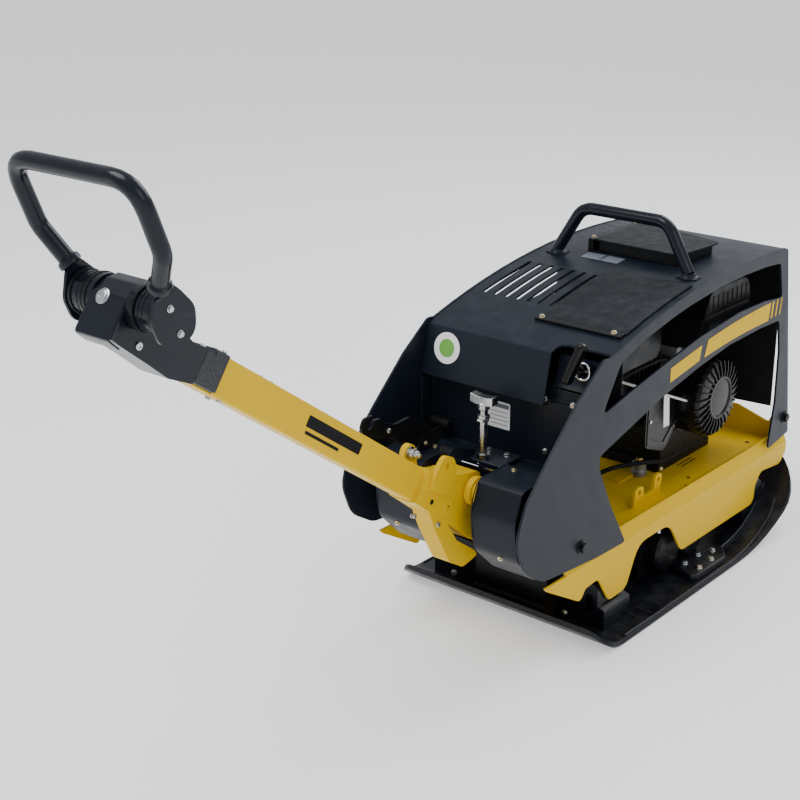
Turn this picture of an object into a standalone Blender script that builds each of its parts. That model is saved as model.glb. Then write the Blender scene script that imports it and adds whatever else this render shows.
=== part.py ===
"""Reversible plate compactor, modelled in metres as separate working pieces.

Frame: origin on the ground under the middle of the base plate, +X to the operator's
right, +Y forward, +Z up. The drawbar and its steering bow reach back along -Y.
"""
import bpy
import bmesh
from math import asin, cos, pi, radians, sin, sqrt, tan, tau
from mathutils import Vector, Matrix

# ---------------------------------------------------------------- driving dimensions
GAP = 0.0003                    # clearance between touching pieces

BASE_HALF = 0.262               # base plate: half width, ends, thickness
BASE_REAR = -0.405
BASE_FRONT = 0.462
BASE_THICK = 0.012
SOLE_REAR_CORNER = 0.040
SOLE_FRONT_CORNER = 0.125

HOOD_HALF = 0.2095              # outer face of the hood's side plates
HOOD_SHEET = 0.005
HOOD_INNER = HOOD_HALF - HOOD_SHEET

FRAME_HALF = 0.2035             # outer face of the yellow frame's side panels
FRAME_SHEET = 0.005
FRAME_FOLD_Z = 0.178            # where the side panels meet the deck
DECK_EDGE_X = 0.192
DECK_EDGE_Z = 0.2075
DECK_Z = 0.197                  # top of the deck's flat middle
DECK_SHEET = 0.005
DECK_REAR = -0.46
DECK_FRONT = 0.438

POLE_PIVOT = Vector((0.0, -0.536, 0.336))
POLE_SLOPE = radians(35.4)      # drawbar's climb towards the operator
POLE_OFFSET = 0.041             # pivot axis above the drawbar's centre line
POLE_WIDE = 0.045
POLE_HIGH = 0.064
POLE_START = 0.150              # drawbar's length range, measured from the pivot
POLE_END = 0.737

BOW_PIVOT = Vector((0.0, -1.312, 0.876))
BOW_HALF = 0.1305                # steering bow's tube centre, half width
BOW_TUBE = 0.0135

LIFT_HALF = 0.159               # lifting bow over the hood
LIFT_TUBE = 0.0130

CRANK = Vector((0.0, 0.151, 0.360))
BELT_X = -0.171                 # middle of the belt and both pulleys
EXCITER_GROOVE = 0.038
CLUTCH_GROOVE = 0.043
BELT_SEAT = 0.0009              # belt's underside above the bottom of the grooves
EXCITER_Z = 0.068
EXCITER_REAR_Y = -0.035
EXCITER_SPACING = 0.100
MASS_RADIUS = 0.044

GRIP_PULL = Vector((0.0, -0.80, 0.60))
SPINDLE = Vector((-0.008, -0.447, 0.361))
LATCH_PIVOT = Vector((-0.107, -0.469, 0.3965))
GRIP_SEAT = Vector((0.152, -0.349, 0.548))
TANK_CAP = Vector((0.010, 0.130, 0.0))
COVER_INNER = 0.066             # guards over the drawbar bearings
COVER_OUTER = 0.166

CONSOLE_TOP = 0.108             # cast feet on the base plate and the rubber buffers on them
CONSOLE_OUTER = 0.196
BUFFER_X = 0.158
BUFFER_RADIUS = 0.030
REAR_BUFFER_Y = -0.288
FRONT_BUFFER_Y = 0.307

HOOD_CREASE = -0.372            # rear crease and front end of the bonnet's arched top
HOOD_FRONT = 0.349
ROOF_SHEET = 0.004
ROOF_DROP = 0.0015              # roof's surface below the side plates' top edge
FLAP_HINGE_Y = -0.270           # rear mat's hinge line, beside its clamp bar
ROOF_HALF = HOOD_INNER - GAP
NOTCH_X = 0.092                 # left edge of the cut-out for the starter grip

# ---------------------------------------------------------------- scene and materials


def clear_scene():
    for item in list(bpy.data.objects):
        bpy.data.objects.remove(item, do_unlink=True)


def material(name, colour, roughness, metallic=0.0):
    found = bpy.data.materials.get(name)
    if found:
        return found
    made = bpy.data.materials.new(name)
    made.use_nodes = True
    shader = made.node_tree.nodes["Principled BSDF"]
    shader.inputs["Base Color"].default_value = (*colour, 1.0)
    shader.inputs["Roughness"].default_value = roughness
    shader.inputs["Metallic"].default_value = metallic
    return made


def slate():
    return material("slate_powder_coat", (0.055, 0.075, 0.100), 0.42)


def near_black():
    return material("black_coated_steel", (0.016, 0.019, 0.026), 0.45)


def yellow():
    return material("signal_yellow", (0.86, 0.60, 0.015), 0.38)


def rubber():
    return material("black_rubber", (0.018, 0.018, 0.018), 0.75)


def plastic():
    return material("black_plastic", (0.022, 0.022, 0.024), 0.5)


def zinc():
    return material("zinc_plated_steel", (0.55, 0.56, 0.56), 0.32, 0.9)


def bare_steel():
    return material("machined_steel", (0.42, 0.42, 0.43), 0.3, 1.0)


def cast_alloy():
    return material("cast_alloy", (0.30, 0.31, 0.32), 0.5, 0.8)


def chrome():
    return material("chrome", (0.75, 0.75, 0.76), 0.12, 1.0)


def cord_white():
    return material("starter_cord", (0.75, 0.75, 0.70), 0.8)


BODIES = {}


def body(name, pivot):
    """An empty on the joint's axis, which carries the moving pieces of one body."""
    empty = bpy.data.objects.new(name, None)
    empty.location = pivot
    bpy.context.scene.collection.objects.link(empty)
    BODIES[name] = empty
    return empty


def node(name, shape, finish, carrier=None, smooth_angle=32.0):
    """Make one named solid; its mesh is stored relative to its carrier's pivot."""
    bmesh.ops.recalc_face_normals(shape, faces=shape.faces)
    if carrier:
        bmesh.ops.translate(shape, verts=shape.verts, vec=-BODIES[carrier].location)
    mesh = bpy.data.meshes.new(name)
    shape.to_mesh(mesh)
    shape.free()
    mesh.materials.append(finish)
    mesh.shade_smooth()
    mesh.set_sharp_from_angle(angle=radians(smooth_angle))
    thing = bpy.data.objects.new(name, mesh)
    bpy.context.scene.collection.objects.link(thing)
    if carrier:
        thing.parent = BODIES[carrier]
    return thing


# ---------------------------------------------------------------- shape helpers

TURN = {
    "X": Matrix.Rotation(pi / 2, 4, "Y"),
    "Y": Matrix.Rotation(-pi / 2, 4, "X"),
    "Z": Matrix.Identity(4),
}


def box(low, high, bevel=0.0, segments=1):
    shape = bmesh.new()
    size = Vector(high) - Vector(low)
    middle = (Vector(high) + Vector(low)) / 2
    place = Matrix.Translation(middle) @ Matrix.Diagonal((*size, 1.0))
    bmesh.ops.create_cube(shape, size=1.0, matrix=place)
    if bevel:
        bmesh.ops.bevel(shape, geom=shape.edges[:], offset=bevel, segments=segments,
                        profile=0.5, affect="EDGES")
    return shape


def turned(axis, origin, profile, sides=24):
    """Revolve (along, radius) points about an axis; a radius of 0 closes to a point."""
    shape = bmesh.new()
    rings = []
    for along, radius in profile:
        if radius <= 0.0:
            rings.append([shape.verts.new((0, 0, along))])
            continue
        ring = []
        for step in range(sides):
            angle = tau * step / sides
            ring.append(shape.verts.new((radius * cos(angle), radius * sin(angle), along)))
        rings.append(ring)
    for first, second in zip(rings, rings[1:]):
        skin(shape, first, second)
    for end in (rings[0], rings[-1]):
        if len(end) > 1:
            shape.faces.new(end)
    shape.transform(Matrix.Translation(origin) @ TURN[axis])
    return shape


def turned_ring(axis, origin, profile, sides=24):
    """Revolve a closed (along, radius) outline, so the piece has an open bore."""
    shape = bmesh.new()
    rings = []
    for along, radius in profile:
        ring = []
        for step in range(sides):
            angle = tau * step / sides
            ring.append(shape.verts.new((radius * cos(angle), radius * sin(angle), along)))
        rings.append(ring)
    for first, second in zip(rings, rings[1:] + rings[:1]):
        skin(shape, first, second)
    shape.transform(Matrix.Translation(origin) @ TURN[axis])
    return shape


def skin(shape, first, second):
    """Join two rings of vertices with faces; either ring may be a single point."""
    count = max(len(first), len(second))
    for step in range(count):
        after = (step + 1) % count
        if len(first) == 1:
            shape.faces.new((first[0], second[step], second[after]))
        elif len(second) == 1:
            shape.faces.new((first[step], first[after], second[0]))
        else:
            shape.faces.new((first[step], first[after], second[after], second[step]))


def rounded(points, steps=4):
    """A closed 2-D outline from (a, b, corner radius) points, with arcs at the corners."""
    outline = []
    count = len(points)
    for index in range(count):
        here = Vector(points[index][:2])
        radius = points[index][2] if len(points[index]) > 2 else 0.0
        before = (Vector(points[index - 1][:2]) - here)
        after = (Vector(points[(index + 1) % count][:2]) - here)
        if radius <= 0.0:
            outline.append(here)
            continue
        outline += corner(here, before, after, radius, steps)
    return outline


def corner(here, before, after, radius, steps):
    """Points of the arc that replaces one corner, in 2-D or 3-D."""
    turn = before.angle(after)
    back = min(radius / tan(turn / 2), 0.49 * before.length, 0.49 * after.length)
    if back < 0.0002:
        return [here]
    start = here + before.normalized() * back
    end = here + after.normalized() * back
    points = []
    for step in range(steps + 1):
        share = step / steps
        points.append(start * (1 - share) ** 2 + here * 2 * share * (1 - share) + end * share ** 2)
    return points


def circle(a, b, radius, sides=16):
    return [Vector((a + radius * cos(tau * s / sides), b + radius * sin(tau * s / sides)))
            for s in range(sides)]


def slot(a, b, half_a, half_b, steps=4):
    radius = 0.98 * min(half_a, half_b)
    return rounded([(a - half_a, b - half_b, radius), (a + half_a, b - half_b, radius),
                    (a + half_a, b + half_b, radius), (a - half_a, b + half_b, radius)], steps)


def placed(axis, a, b, along):
    if axis == "X":
        return (along, a, b)
    if axis == "Y":
        return (a, along, b)
    return (a, b, along)


def prism(axis, outline, low, high, holes=()):
    """A flat plate: a 2-D outline, with holes, pushed along an axis from low to high."""
    shape = bmesh.new()
    edges = []
    for loop in (outline, *holes):
        verts = [shape.verts.new(placed(axis, p[0], p[1], low)) for p in loop]
        for index, vert in enumerate(verts):
            edges.append(shape.edges.new((vert, verts[(index + 1) % len(verts)])))
    bmesh.ops.triangle_fill(shape, use_beauty=True, use_dissolve=False, edges=edges)
    grown = bmesh.ops.extrude_face_region(shape, geom=shape.faces[:])
    moved = [item for item in grown["geom"] if isinstance(item, bmesh.types.BMVert)]
    bmesh.ops.translate(shape, verts=moved, vec=placed(axis, 0, 0, high - low))
    bmesh.ops.recalc_face_normals(shape, faces=shape.faces)
    return shape


def offset_line(points, distance):
    """Points of an open 2-D line moved sideways by a distance, mitred at its bends."""
    moved = []
    for index, point in enumerate(points):
        normals = []
        if index > 0:
            along = (point - points[index - 1]).normalized()
            normals.append(Vector((-along.y, along.x)))
        if index < len(points) - 1:
            along = (points[index + 1] - point).normalized()
            normals.append(Vector((-along.y, along.x)))
        middle = sum(normals, Vector((0, 0))).normalized()
        moved.append(point + middle * (distance / middle.dot(normals[0])))
    return moved


def open_rounded(points, steps=4):
    """An open 2-D line with arcs at its inner points."""
    line = [Vector(points[0][:2])]
    for index in range(1, len(points) - 1):
        here = Vector(points[index][:2])
        before = Vector(points[index - 1][:2]) - here
        after = Vector(points[index + 1][:2]) - here
        line += corner(here, before, after, points[index][2], steps)
    line.append(Vector(points[-1][:2]))
    return line


def bent_sheet(axis, line, thickness, low, high, holes=()):
    """A bent sheet: an open 2-D line given a thickness and pushed along an axis."""
    outline = line + list(reversed(offset_line(line, thickness)))
    return prism(axis, outline, low, high, holes)


def rounded_path(points, steps=5):
    """A 3-D route from (point, bend radius) pairs, with arcs at its bends."""
    route = [Vector(points[0][0])]
    for index in range(1, len(points) - 1):
        here = Vector(points[index][0])
        before = Vector(points[index - 1][0]) - here
        after = Vector(points[index + 1][0]) - here
        route += corner(here, before, after, points[index][1], steps)
    route.append(Vector(points[-1][0]))
    return route


def tube(route, radius, sides=12):
    """A round bar that follows a 3-D route, capped at both ends."""
    shape = bmesh.new()
    heading = (route[1] - route[0]).normalized()
    side = heading.orthogonal().normalized()
    rings = []
    for index, point in enumerate(route):
        before = route[max(index - 1, 0)]
        after = route[min(index + 1, len(route) - 1)]
        ahead = (after - before).normalized()
        side = heading.rotation_difference(ahead) @ side
        heading = ahead
        across = heading.cross(side)
        ring = []
        for step in range(sides):
            angle = tau * step / sides
            ring.append(shape.verts.new(point + radius * (side * cos(angle) + across * sin(angle))))
        rings.append(ring)
    for first, second in zip(rings, rings[1:]):
        skin(shape, first, second)
    shape.faces.new(rings[0])
    shape.faces.new(rings[-1])
    return shape


def boolean(base, tools, operation):
    """Join tools to a shape, or cut them from it, and return the result as a shape."""
    bmesh.ops.recalc_face_normals(base, faces=base.faces)
    host = holder(base)
    helpers = []
    for tool in tools:
        bmesh.ops.recalc_face_normals(tool, faces=tool.faces)
        helper = holder(tool)
        helpers.append(helper)
        modifier = host.modifiers.new(operation, "BOOLEAN")
        modifier.operation = operation
        modifier.solver = "EXACT"
        modifier.object = helper
    bpy.context.view_layer.update()
    graph = bpy.context.evaluated_depsgraph_get()
    result = bmesh.new()
    result.from_mesh(host.evaluated_get(graph).to_mesh())
    host.evaluated_get(graph).to_mesh_clear()
    for thing in (host, *helpers):
        bpy.data.objects.remove(thing, do_unlink=True)
    bmesh.ops.remove_doubles(result, verts=result.verts, dist=0.000002)
    return result


def holder(shape):
    mesh = bpy.data.meshes.new("work")
    shape.to_mesh(mesh)
    shape.free()
    thing = bpy.data.objects.new("work", mesh)
    bpy.context.scene.collection.objects.link(thing)
    return thing


def union(base, *tools):
    return boolean(base, tools, "UNION")


def cut(base, *tools):
    return boolean(base, tools, "DIFFERENCE")


def flipped(shape):
    """The same shape mirrored to the machine's other side."""
    bmesh.ops.transform(shape, matrix=Matrix.Diagonal((-1, 1, 1, 1)), verts=shape.verts)
    bmesh.ops.reverse_faces(shape, faces=shape.faces)
    return shape


def both_sides(name, maker, finish, carrier=None):
    """One piece on the right-hand side and its mirror image on the left."""
    node(name + "_right", maker(), finish, carrier)
    node(name + "_left", flipped(maker()), finish, carrier)


# ---------------------------------------------------------------- base plate


def sole_height(y):
    """Underside of the base plate: flat, with both ends swept up."""
    rear_start, rear_bend = -0.335, 0.085
    front_start, front_bend = 0.130, 0.460
    if y < rear_start:
        return rear_bend - sqrt(rear_bend ** 2 - (rear_start - y) ** 2)
    if y > front_start:
        return front_bend - sqrt(front_bend ** 2 - (y - front_start) ** 2)
    return 0.0


def sole_half_width(y):
    """Half width of the base plate, with rounded corners at both ends."""
    rear_corner, front_corner = SOLE_REAR_CORNER, SOLE_FRONT_CORNER
    rear_centre = BASE_REAR + rear_corner
    front_centre = BASE_FRONT - front_corner
    if y < rear_centre:
        return BASE_HALF - rear_corner + sqrt(max(rear_corner ** 2 - (rear_centre - y) ** 2, 0.0))
    if y > front_centre:
        return BASE_HALF - front_corner + sqrt(max(front_corner ** 2 - (y - front_centre) ** 2, 0.0))
    return BASE_HALF


def base_sole():
    """The ground plate: flat in the middle, swept up and rounded at both ends."""
    shape = bmesh.new()
    edge = 0.004
    stations = end_stations(BASE_REAR, BASE_REAR + SOLE_REAR_CORNER, 6)
    stations += [-0.35, -0.335, 0.0, 0.13, 0.175, 0.22, 0.26, 0.30]
    stations += list(reversed(end_stations(BASE_FRONT, BASE_FRONT - SOLE_FRONT_CORNER, 8)))
    shares = (-1.0, -0.8, -0.4, 0.0, 0.4, 0.8, 1.0)
    top, bottom = [], []
    for y in stations:
        half = sole_half_width(y)
        low = sole_height(y)
        bottom.append([shape.verts.new(((half - edge / 2) * s, y, low)) for s in shares])
        sides = [shape.verts.new((half * s, y, low + edge)) for s in (-1.0, 1.0)]
        upper = [shape.verts.new(((half - edge) * s, y, low + BASE_THICK)) for s in shares]
        top.append([sides[0], *upper, sides[1]])
    for index in range(len(stations) - 1):
        strip(shape, top[index], top[index + 1])
        strip(shape, bottom[index], bottom[index + 1])
        for side in (0, -1):
            shape.faces.new((top[index][side], top[index + 1][side],
                             bottom[index + 1][side], bottom[index][side]))
    for end in (0, -1):
        shape.faces.new(top[end] + list(reversed(bottom[end])))
    return shape


def base_plate():
    """The sole with its rear ribs and the four cast feet welded on."""
    ribs = [rear_bar(x) for x in (-0.1575, -0.0525, 0.0525, 0.1575)]
    feet = [rear_console(), front_console(), flipped(rear_console()), flipped(front_console())]
    return union(base_sole(), *ribs, *feet)


def end_stations(end, inner, count):
    """Stations that crowd towards a rounded end."""
    return [inner + (end - inner) * cos(pi / 2 * step / count) for step in range(count + 1)]


def strip(shape, first, second):
    for a, b, c, d in zip(first, first[1:], second[1:], second):
        shape.faces.new((a, b, c, d))


def rear_bar(x):
    """A raised rib along the rear lip."""
    y = BASE_REAR + 0.0145
    floor = sole_height(y) + BASE_THICK - 0.004
    half_length, half_depth, height = 0.043, 0.0075, 0.0085
    return box((x - half_length, y - half_depth, floor), (x + half_length, y + half_depth, floor + height),
               0.0025)


# ---------------------------------------------------------------- exciter


def exciter_outline(radius):
    front = EXCITER_REAR_Y + EXCITER_SPACING
    foot = BASE_THICK + GAP
    return rounded([(EXCITER_REAR_Y - radius, foot), (front + radius, foot),
                    (front + radius, EXCITER_Z + radius, radius * 0.8),
                    (EXCITER_REAR_Y - radius, EXCITER_Z + radius, radius * 0.8)], 6)


def exciter_housing():
    pocket = 0.0565
    shell = prism("X", exciter_outline(0.066), -0.130, 0.130)
    drills = [turned("X", (0, y, EXCITER_Z), [(-0.14, pocket - 0.004), (0.14, pocket - 0.004)], 32)
              for y in (EXCITER_REAR_Y, EXCITER_REAR_Y + EXCITER_SPACING)]
    return cut(shell, *drills)


def exciter_cap():
    """Bearing cover with a round boss over each shaft; the shafts run in its bores."""
    plate = prism("X", exciter_outline(0.065), 0.130 + GAP, 0.150)
    bosses = [turned("X", (0, y, EXCITER_Z), [(0.140, 0.0485), (0.176, 0.0485), (0.182, 0.0425)], 28)
              for y in (EXCITER_REAR_Y, EXCITER_REAR_Y + EXCITER_SPACING)]
    whole = union(plate, *bosses)
    drills = [turned("X", (0, y, EXCITER_Z), [(0.12, 0.0123), (0.165, 0.0123)], 20)
              for y in (EXCITER_REAR_Y, EXCITER_REAR_Y + EXCITER_SPACING)]
    return cut(whole, *drills)


def exciter_cap_left():
    """The left cover: its front shaft comes right through to carry the pulley."""
    plate = prism("X", exciter_outline(0.065), -0.150, -0.130 - GAP)
    drills = [turned("X", (0, EXCITER_REAR_Y, EXCITER_Z), [(-0.142, 0.0123), (-0.12, 0.0123)], 20),
              turned("X", (0, EXCITER_REAR_Y + EXCITER_SPACING, EXCITER_Z),
                     [(-0.16, 0.0123), (-0.12, 0.0123)], 20)]
    return cut(plate, *drills)


def half_mass(y, side):
    """Eccentric mass: the lower half of a thick disc."""
    points = [(y + MASS_RADIUS * cos(pi + pi * s / 12), EXCITER_Z + MASS_RADIUS * sin(pi + pi * s / 12))
              for s in range(13)]
    outline = [Vector(p) for p in points]
    return prism("X", outline, side[0], side[1])


def gear(y, phase):
    """Spur gear with straight-flanked teeth, in mesh with its partner across the spacing."""
    teeth = 20
    pitch = EXCITER_SPACING / 2
    tip, root = pitch + 0.0019, pitch - 0.0030
    outline = []
    for tooth in range(teeth):
        middle = tau * (tooth + phase) / teeth
        for turn, radius in ((-0.30, root), (-0.14, tip), (0.14, tip), (0.30, root)):
            angle = middle + turn * tau / teeth
            outline.append(Vector((y + radius * cos(angle), EXCITER_Z + radius * sin(angle))))
    return prism("X", outline, 0.106, 0.124)


def pulley_profile(middle, rim, groove):
    return [(middle - 0.011, rim), (middle - 0.008, rim), (middle - 0.003, groove),
            (middle + 0.003, groove), (middle + 0.008, rim), (middle + 0.011, rim)]


def front_shaft():
    y = EXCITER_REAR_Y + EXCITER_SPACING
    rod = turned("X", (0, y, EXCITER_Z), [(-0.186, 0.012), (0.160, 0.012)], 20)
    wheel = turned("X", (0, y, EXCITER_Z), pulley_profile(BELT_X, 0.045, EXCITER_GROOVE), 28)
    return union(rod, half_mass(y, (-0.110, 0.095)), gear(y, 0.5), wheel)


def rear_shaft():
    rod = turned("X", (0, EXCITER_REAR_Y, EXCITER_Z), [(-0.138, 0.012), (0.160, 0.012)], 20)
    return union(rod, half_mass(EXCITER_REAR_Y, (-0.110, 0.095)), gear(EXCITER_REAR_Y, 0.0))


def exciter():
    node("exciter_housing", exciter_housing(), near_black())
    node("exciter_cap_right", exciter_cap(), near_black())
    node("exciter_cap_left", exciter_cap_left(), near_black())
    body("front_eccentric", (0, EXCITER_REAR_Y + EXCITER_SPACING, EXCITER_Z))
    body("rear_eccentric", (0, EXCITER_REAR_Y, EXCITER_Z))
    node("front_eccentric_shaft", front_shaft(), bare_steel(), "front_eccentric")
    node("rear_eccentric_shaft", rear_shaft(), bare_steel(), "rear_eccentric")


def arc(centre, radius, across, along, start, end, steps=12):
    points = []
    for step in range(steps + 1):
        angle = start + (end - start) * step / steps
        points.append(centre + radius * (across * cos(angle) + along * sin(angle)))
    return points


def belt_loop(outer):
    """Outline of the belt: an arc round each pulley, joined by the outer tangents."""
    low = Vector((EXCITER_REAR_Y + EXCITER_SPACING, EXCITER_Z))
    high = Vector((CRANK.y, CRANK.z))
    low_radius, high_radius = EXCITER_GROOVE + BELT_SEAT + outer, CLUTCH_GROOVE + BELT_SEAT + outer
    along = (high - low).normalized()
    across = Vector((along.y, -along.x))
    lean = asin((low_radius - high_radius) / (high - low).length)
    return (arc(low, low_radius, across, along, pi - lean, tau + lean)
            + arc(high, high_radius, across, along, lean, pi - lean))


def v_belt():
    return prism("X", belt_loop(0.0055), BELT_X - 0.0028, BELT_X + 0.0028, [belt_loop(0.0)])


# ---------------------------------------------------------------- consoles and buffers


def rear_console():
    """Cast foot for a rear buffer, with a round window and a slot through its rear wall."""
    foot = BASE_THICK - 0.002
    outline = rounded([(0.092, foot), (0.213, foot), (0.213, 0.056, 0.004), (CONSOLE_OUTER, 0.062, 0.006),
                       (CONSOLE_OUTER, CONSOLE_TOP, 0.020), (0.108, CONSOLE_TOP, 0.020)], 4)
    block = prism("Y", outline, -0.334, -0.240)
    round_window = turned("Y", (0.138, 0, 0.052), [(-0.40, 0.0165), (-0.20, 0.0165)], 20)
    tall_slot = prism("Y", slot(0.177, 0.058, 0.008, 0.024), -0.40, -0.20)
    return cut(block, round_window, tall_slot)


def front_console():
    """Cast foot for a front buffer, shaped to the swept-up sole."""
    outline = rounded([(0.115, 0.010), (CONSOLE_OUTER, 0.010), (CONSOLE_OUTER, CONSOLE_TOP, 0.018),
                       (0.123, CONSOLE_TOP, 0.018)], 4)
    block = prism("Y", outline, 0.262, 0.352)
    return cut(block, below_sole())


def below_sole():
    """Everything under the middle of the base plate's swept-up front."""
    line = []
    for step in range(9):
        y = 0.24 + 0.14 * step / 8
        line.append(Vector((y, sole_height(y) + BASE_THICK / 2)))
    outline = line + [Vector((0.38, -0.02)), Vector((0.24, -0.02))]
    return prism("X", outline, 0.05, 0.27)


def buffer(y):
    """Rubber buffer between a console and the deck, waisted in the middle."""
    low, high = CONSOLE_TOP + GAP, DECK_Z - DECK_SHEET - GAP
    middle = (low + high) / 2
    profile = [(low, BUFFER_RADIUS), (low + 0.010, BUFFER_RADIUS), (low + 0.018, BUFFER_RADIUS * 0.88),
               (middle, BUFFER_RADIUS * 0.82), (high - 0.018, BUFFER_RADIUS * 0.88),
               (high - 0.010, BUFFER_RADIUS), (high, BUFFER_RADIUS)]
    return turned("Z", (BUFFER_X, y, 0), profile, 24)


def rear_crossmember():
    """Black folded bar across the rear of the base, bolted down along its foot."""
    line = open_rounded([(-0.378, 0.0305), (-0.358, 0.0305, 0.006), (-0.352, 0.120, 0.010),
                         (-0.300, 0.128)], 3)
    return bent_sheet("X", line, -0.006, -0.088, 0.088)


def suspension():
    both_sides("rear_buffer", lambda: buffer(REAR_BUFFER_Y), rubber())
    both_sides("front_buffer", lambda: buffer(FRONT_BUFFER_Y), rubber())
    node("rear_crossmember", rear_crossmember(), near_black())


# ---------------------------------------------------------------- yellow frame


def side_panel_outline():
    """Lower half of the frame's side: a straight fold above, and three arches below."""
    top = FRAME_FOLD_Z + 0.001
    return rounded([
        (-0.530, top), (-0.522, 0.170, 0.010), (-0.408, 0.104, 0.022), (-0.392, 0.126, 0.012),
        (-0.345, 0.130, 0.026), (-0.305, 0.066, 0.018), (-0.242, 0.068, 0.028),
        (-0.200, 0.152, 0.050), (-0.078, 0.152, 0.060),
        (-0.024, 0.071, 0.024), (0.296, 0.071, 0.022), (0.298, 0.112, 0.022),
        (0.322, 0.140, 0.024), (0.412, 0.130, 0.020), (0.440, 0.152, 0.012), (0.440, top),
    ], 4)


def frame_side():
    return prism("X", side_panel_outline(), FRAME_HALF - FRAME_SHEET, FRAME_HALF)


def deck_section(x_sign=1):
    """Half of the deck's cross-section, from the side fold to the flat middle."""
    return [(x_sign * FRAME_HALF, FRAME_FOLD_Z), (x_sign * DECK_EDGE_X, DECK_EDGE_Z),
            (x_sign * 0.176, DECK_Z)]


def deck():
    """Engine deck: a shallow trough with turned-down sides and a belt opening."""
    line = [Vector(p) for p in deck_section(-1)] + [Vector(p) for p in reversed(deck_section(1))]
    sheet = bent_sheet("Y", line, -DECK_SHEET, DECK_REAR, DECK_FRONT)
    belt_gap = box((BELT_X - 0.014, 0.030, 0.15), (BELT_X + 0.014, 0.205, 0.25))
    return cut(sheet, belt_gap)


def front_flange():
    """Upstand across the front of the deck, sloping down towards its ends."""
    outline = rounded([(-0.188, 0.194), (0.188, 0.194), (0.188, 0.258, 0.004), (0.178, 0.234, 0.006),
                       (0.100, 0.258, 0.020), (-0.100, 0.258, 0.020), (-0.178, 0.234, 0.006),
                       (-0.188, 0.258, 0.004)], 3)
    return prism("Y", outline, 0.390, 0.395)


def deck_lugs():
    """A pair of eye plates on the deck for tying the machine down."""
    outline = rounded([(-0.150, DECK_Z - 0.002), (-0.045, DECK_Z - 0.002), (-0.045, 0.212, 0.010),
                       (-0.040, 0.245, 0.014), (-0.068, 0.245, 0.014), (-0.072, 0.214, 0.010),
                       (-0.112, 0.212, 0.010), (-0.112, 0.238, 0.014), (-0.144, 0.238, 0.014)], 4)
    holes = [circle(-0.054, 0.232, 0.006, 12), circle(-0.128, 0.226, 0.006, 12)]
    return prism("X", outline, 0.150, 0.157, holes)


def machine_frame():
    """The welded yellow frame: deck, side panels, front upstand and eye plates."""
    return union(deck(), frame_side(), flipped(frame_side()), front_flange(), deck_lugs())


# ---------------------------------------------------------------- hood


def hood_top(y):
    """Height of the hood's arched top edge: a circular arc between its two ends."""
    middle, crown, radius = 0.190, 0.6625, 1.95
    return crown - radius + sqrt(radius ** 2 - (y - middle) ** 2)


def top_line(start, end, steps, drop=0.0):
    """Points along the hood's top edge, optionally lowered."""
    points = []
    for step in range(steps + 1):
        y = start + (end - start) * step / steps
        points.append((y, hood_top(y) - drop))
    return points


def hood_side_outline():
    arch = [(y, z, 0.0) for y, z in top_line(HOOD_CREASE + 0.02, HOOD_FRONT - 0.015, 12)]
    front_post = [(HOOD_FRONT + 0.002, 0.652, 0.010), (0.431, 0.206, 0.006), (0.334, 0.191, 0.008),
                  (0.352, 0.300, 0.030), (0.350, 0.420, 0.020), (0.336, 0.494, 0.010)]
    band_under = [(0.247, 0.497, 0.050), (0.115, 0.494, 0.080), (-0.007, 0.479, 0.080),
                  (-0.143, 0.455, 0.080), (-0.233, 0.432, 0.060), (-0.382, 0.394, 0.018)]
    lower = [(-0.325, 0.281, 0.050), (-0.280, 0.209, 0.030), (-0.262, 0.181, 0.006),
             (-0.356, 0.184, 0.050), (-0.460, 0.193, 0.050), (-0.545, 0.202, 0.050)]
    bulge = [(-0.607, 0.240, 0.060), (-0.636, 0.312, 0.060), (-0.610, 0.375, 0.060),
             (-0.542, 0.446, 0.080), (-0.450, 0.532, 0.080), (HOOD_CREASE, 0.588, 0.020)]
    return rounded(arch + front_post + band_under + lower + bulge, 3)


def upper_window():
    return rounded([
        (-0.369, 0.478, 0.008), (-0.312, 0.566, 0.030), (-0.231, 0.591, 0.050), (-0.133, 0.610, 0.060),
        (-0.065, 0.620, 0.060), (0.053, 0.631, 0.080), (0.159, 0.634, 0.080), (0.252, 0.632, 0.060),
        (0.320, 0.626, 0.008), (0.341, 0.546, 0.010), (0.260, 0.555, 0.060), (0.149, 0.557, 0.080),
        (-0.016, 0.543, 0.080), (-0.149, 0.521, 0.080), (-0.258, 0.501, 0.060),
    ], 3)


def hood_side():
    return prism("X", hood_side_outline(), HOOD_INNER, HOOD_HALF, [upper_window()])


def roof_line(start_z=0.474):
    """Cross-section of the bonnet sheet: rear lip, crease, arched top, front edge."""
    arch = top_line(HOOD_CREASE + 0.004, HOOD_FRONT - 0.012, 14, ROOF_DROP)
    lip = [Vector((-0.378, start_z)), Vector((-0.394, start_z + 0.004)), Vector((-0.373, 0.577))]
    return lip + [Vector(p) for p in arch] + [Vector((HOOD_FRONT - 0.001, 0.645))]


def hood_roof():
    sheet = bent_sheet("X", roof_line(), -ROOF_SHEET, -ROOF_HALF, ROOF_HALF)
    notch = prism("Z", rounded([(NOTCH_X, -0.420), (0.215, -0.420), (0.215, -0.338),
                                (NOTCH_X, -0.338, 0.020)], 4), 0.440, 0.620)
    slots = []
    for index in range(7):
        x = -0.174 + 0.0272 * index
        slots.append(prism("Z", slot(x, -0.147, 0.0045, 0.083, 3), 0.590, 0.670))
    return cut(sheet, notch, roof_filler_hole(), *slots)


def rear_wall():
    """Upright wall under the bonnet's lip, with a return along each side."""
    outline = rounded([(-0.203, 0.333), (0.203, 0.333), (0.203, 0.505), (-0.203, 0.505)], 2)
    right = box((0.1995, -0.398, 0.356), (0.2030, -0.3615, 0.470))
    return union(prism("Y", outline, -0.364, -0.360), right, flipped(right.copy()))


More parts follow.
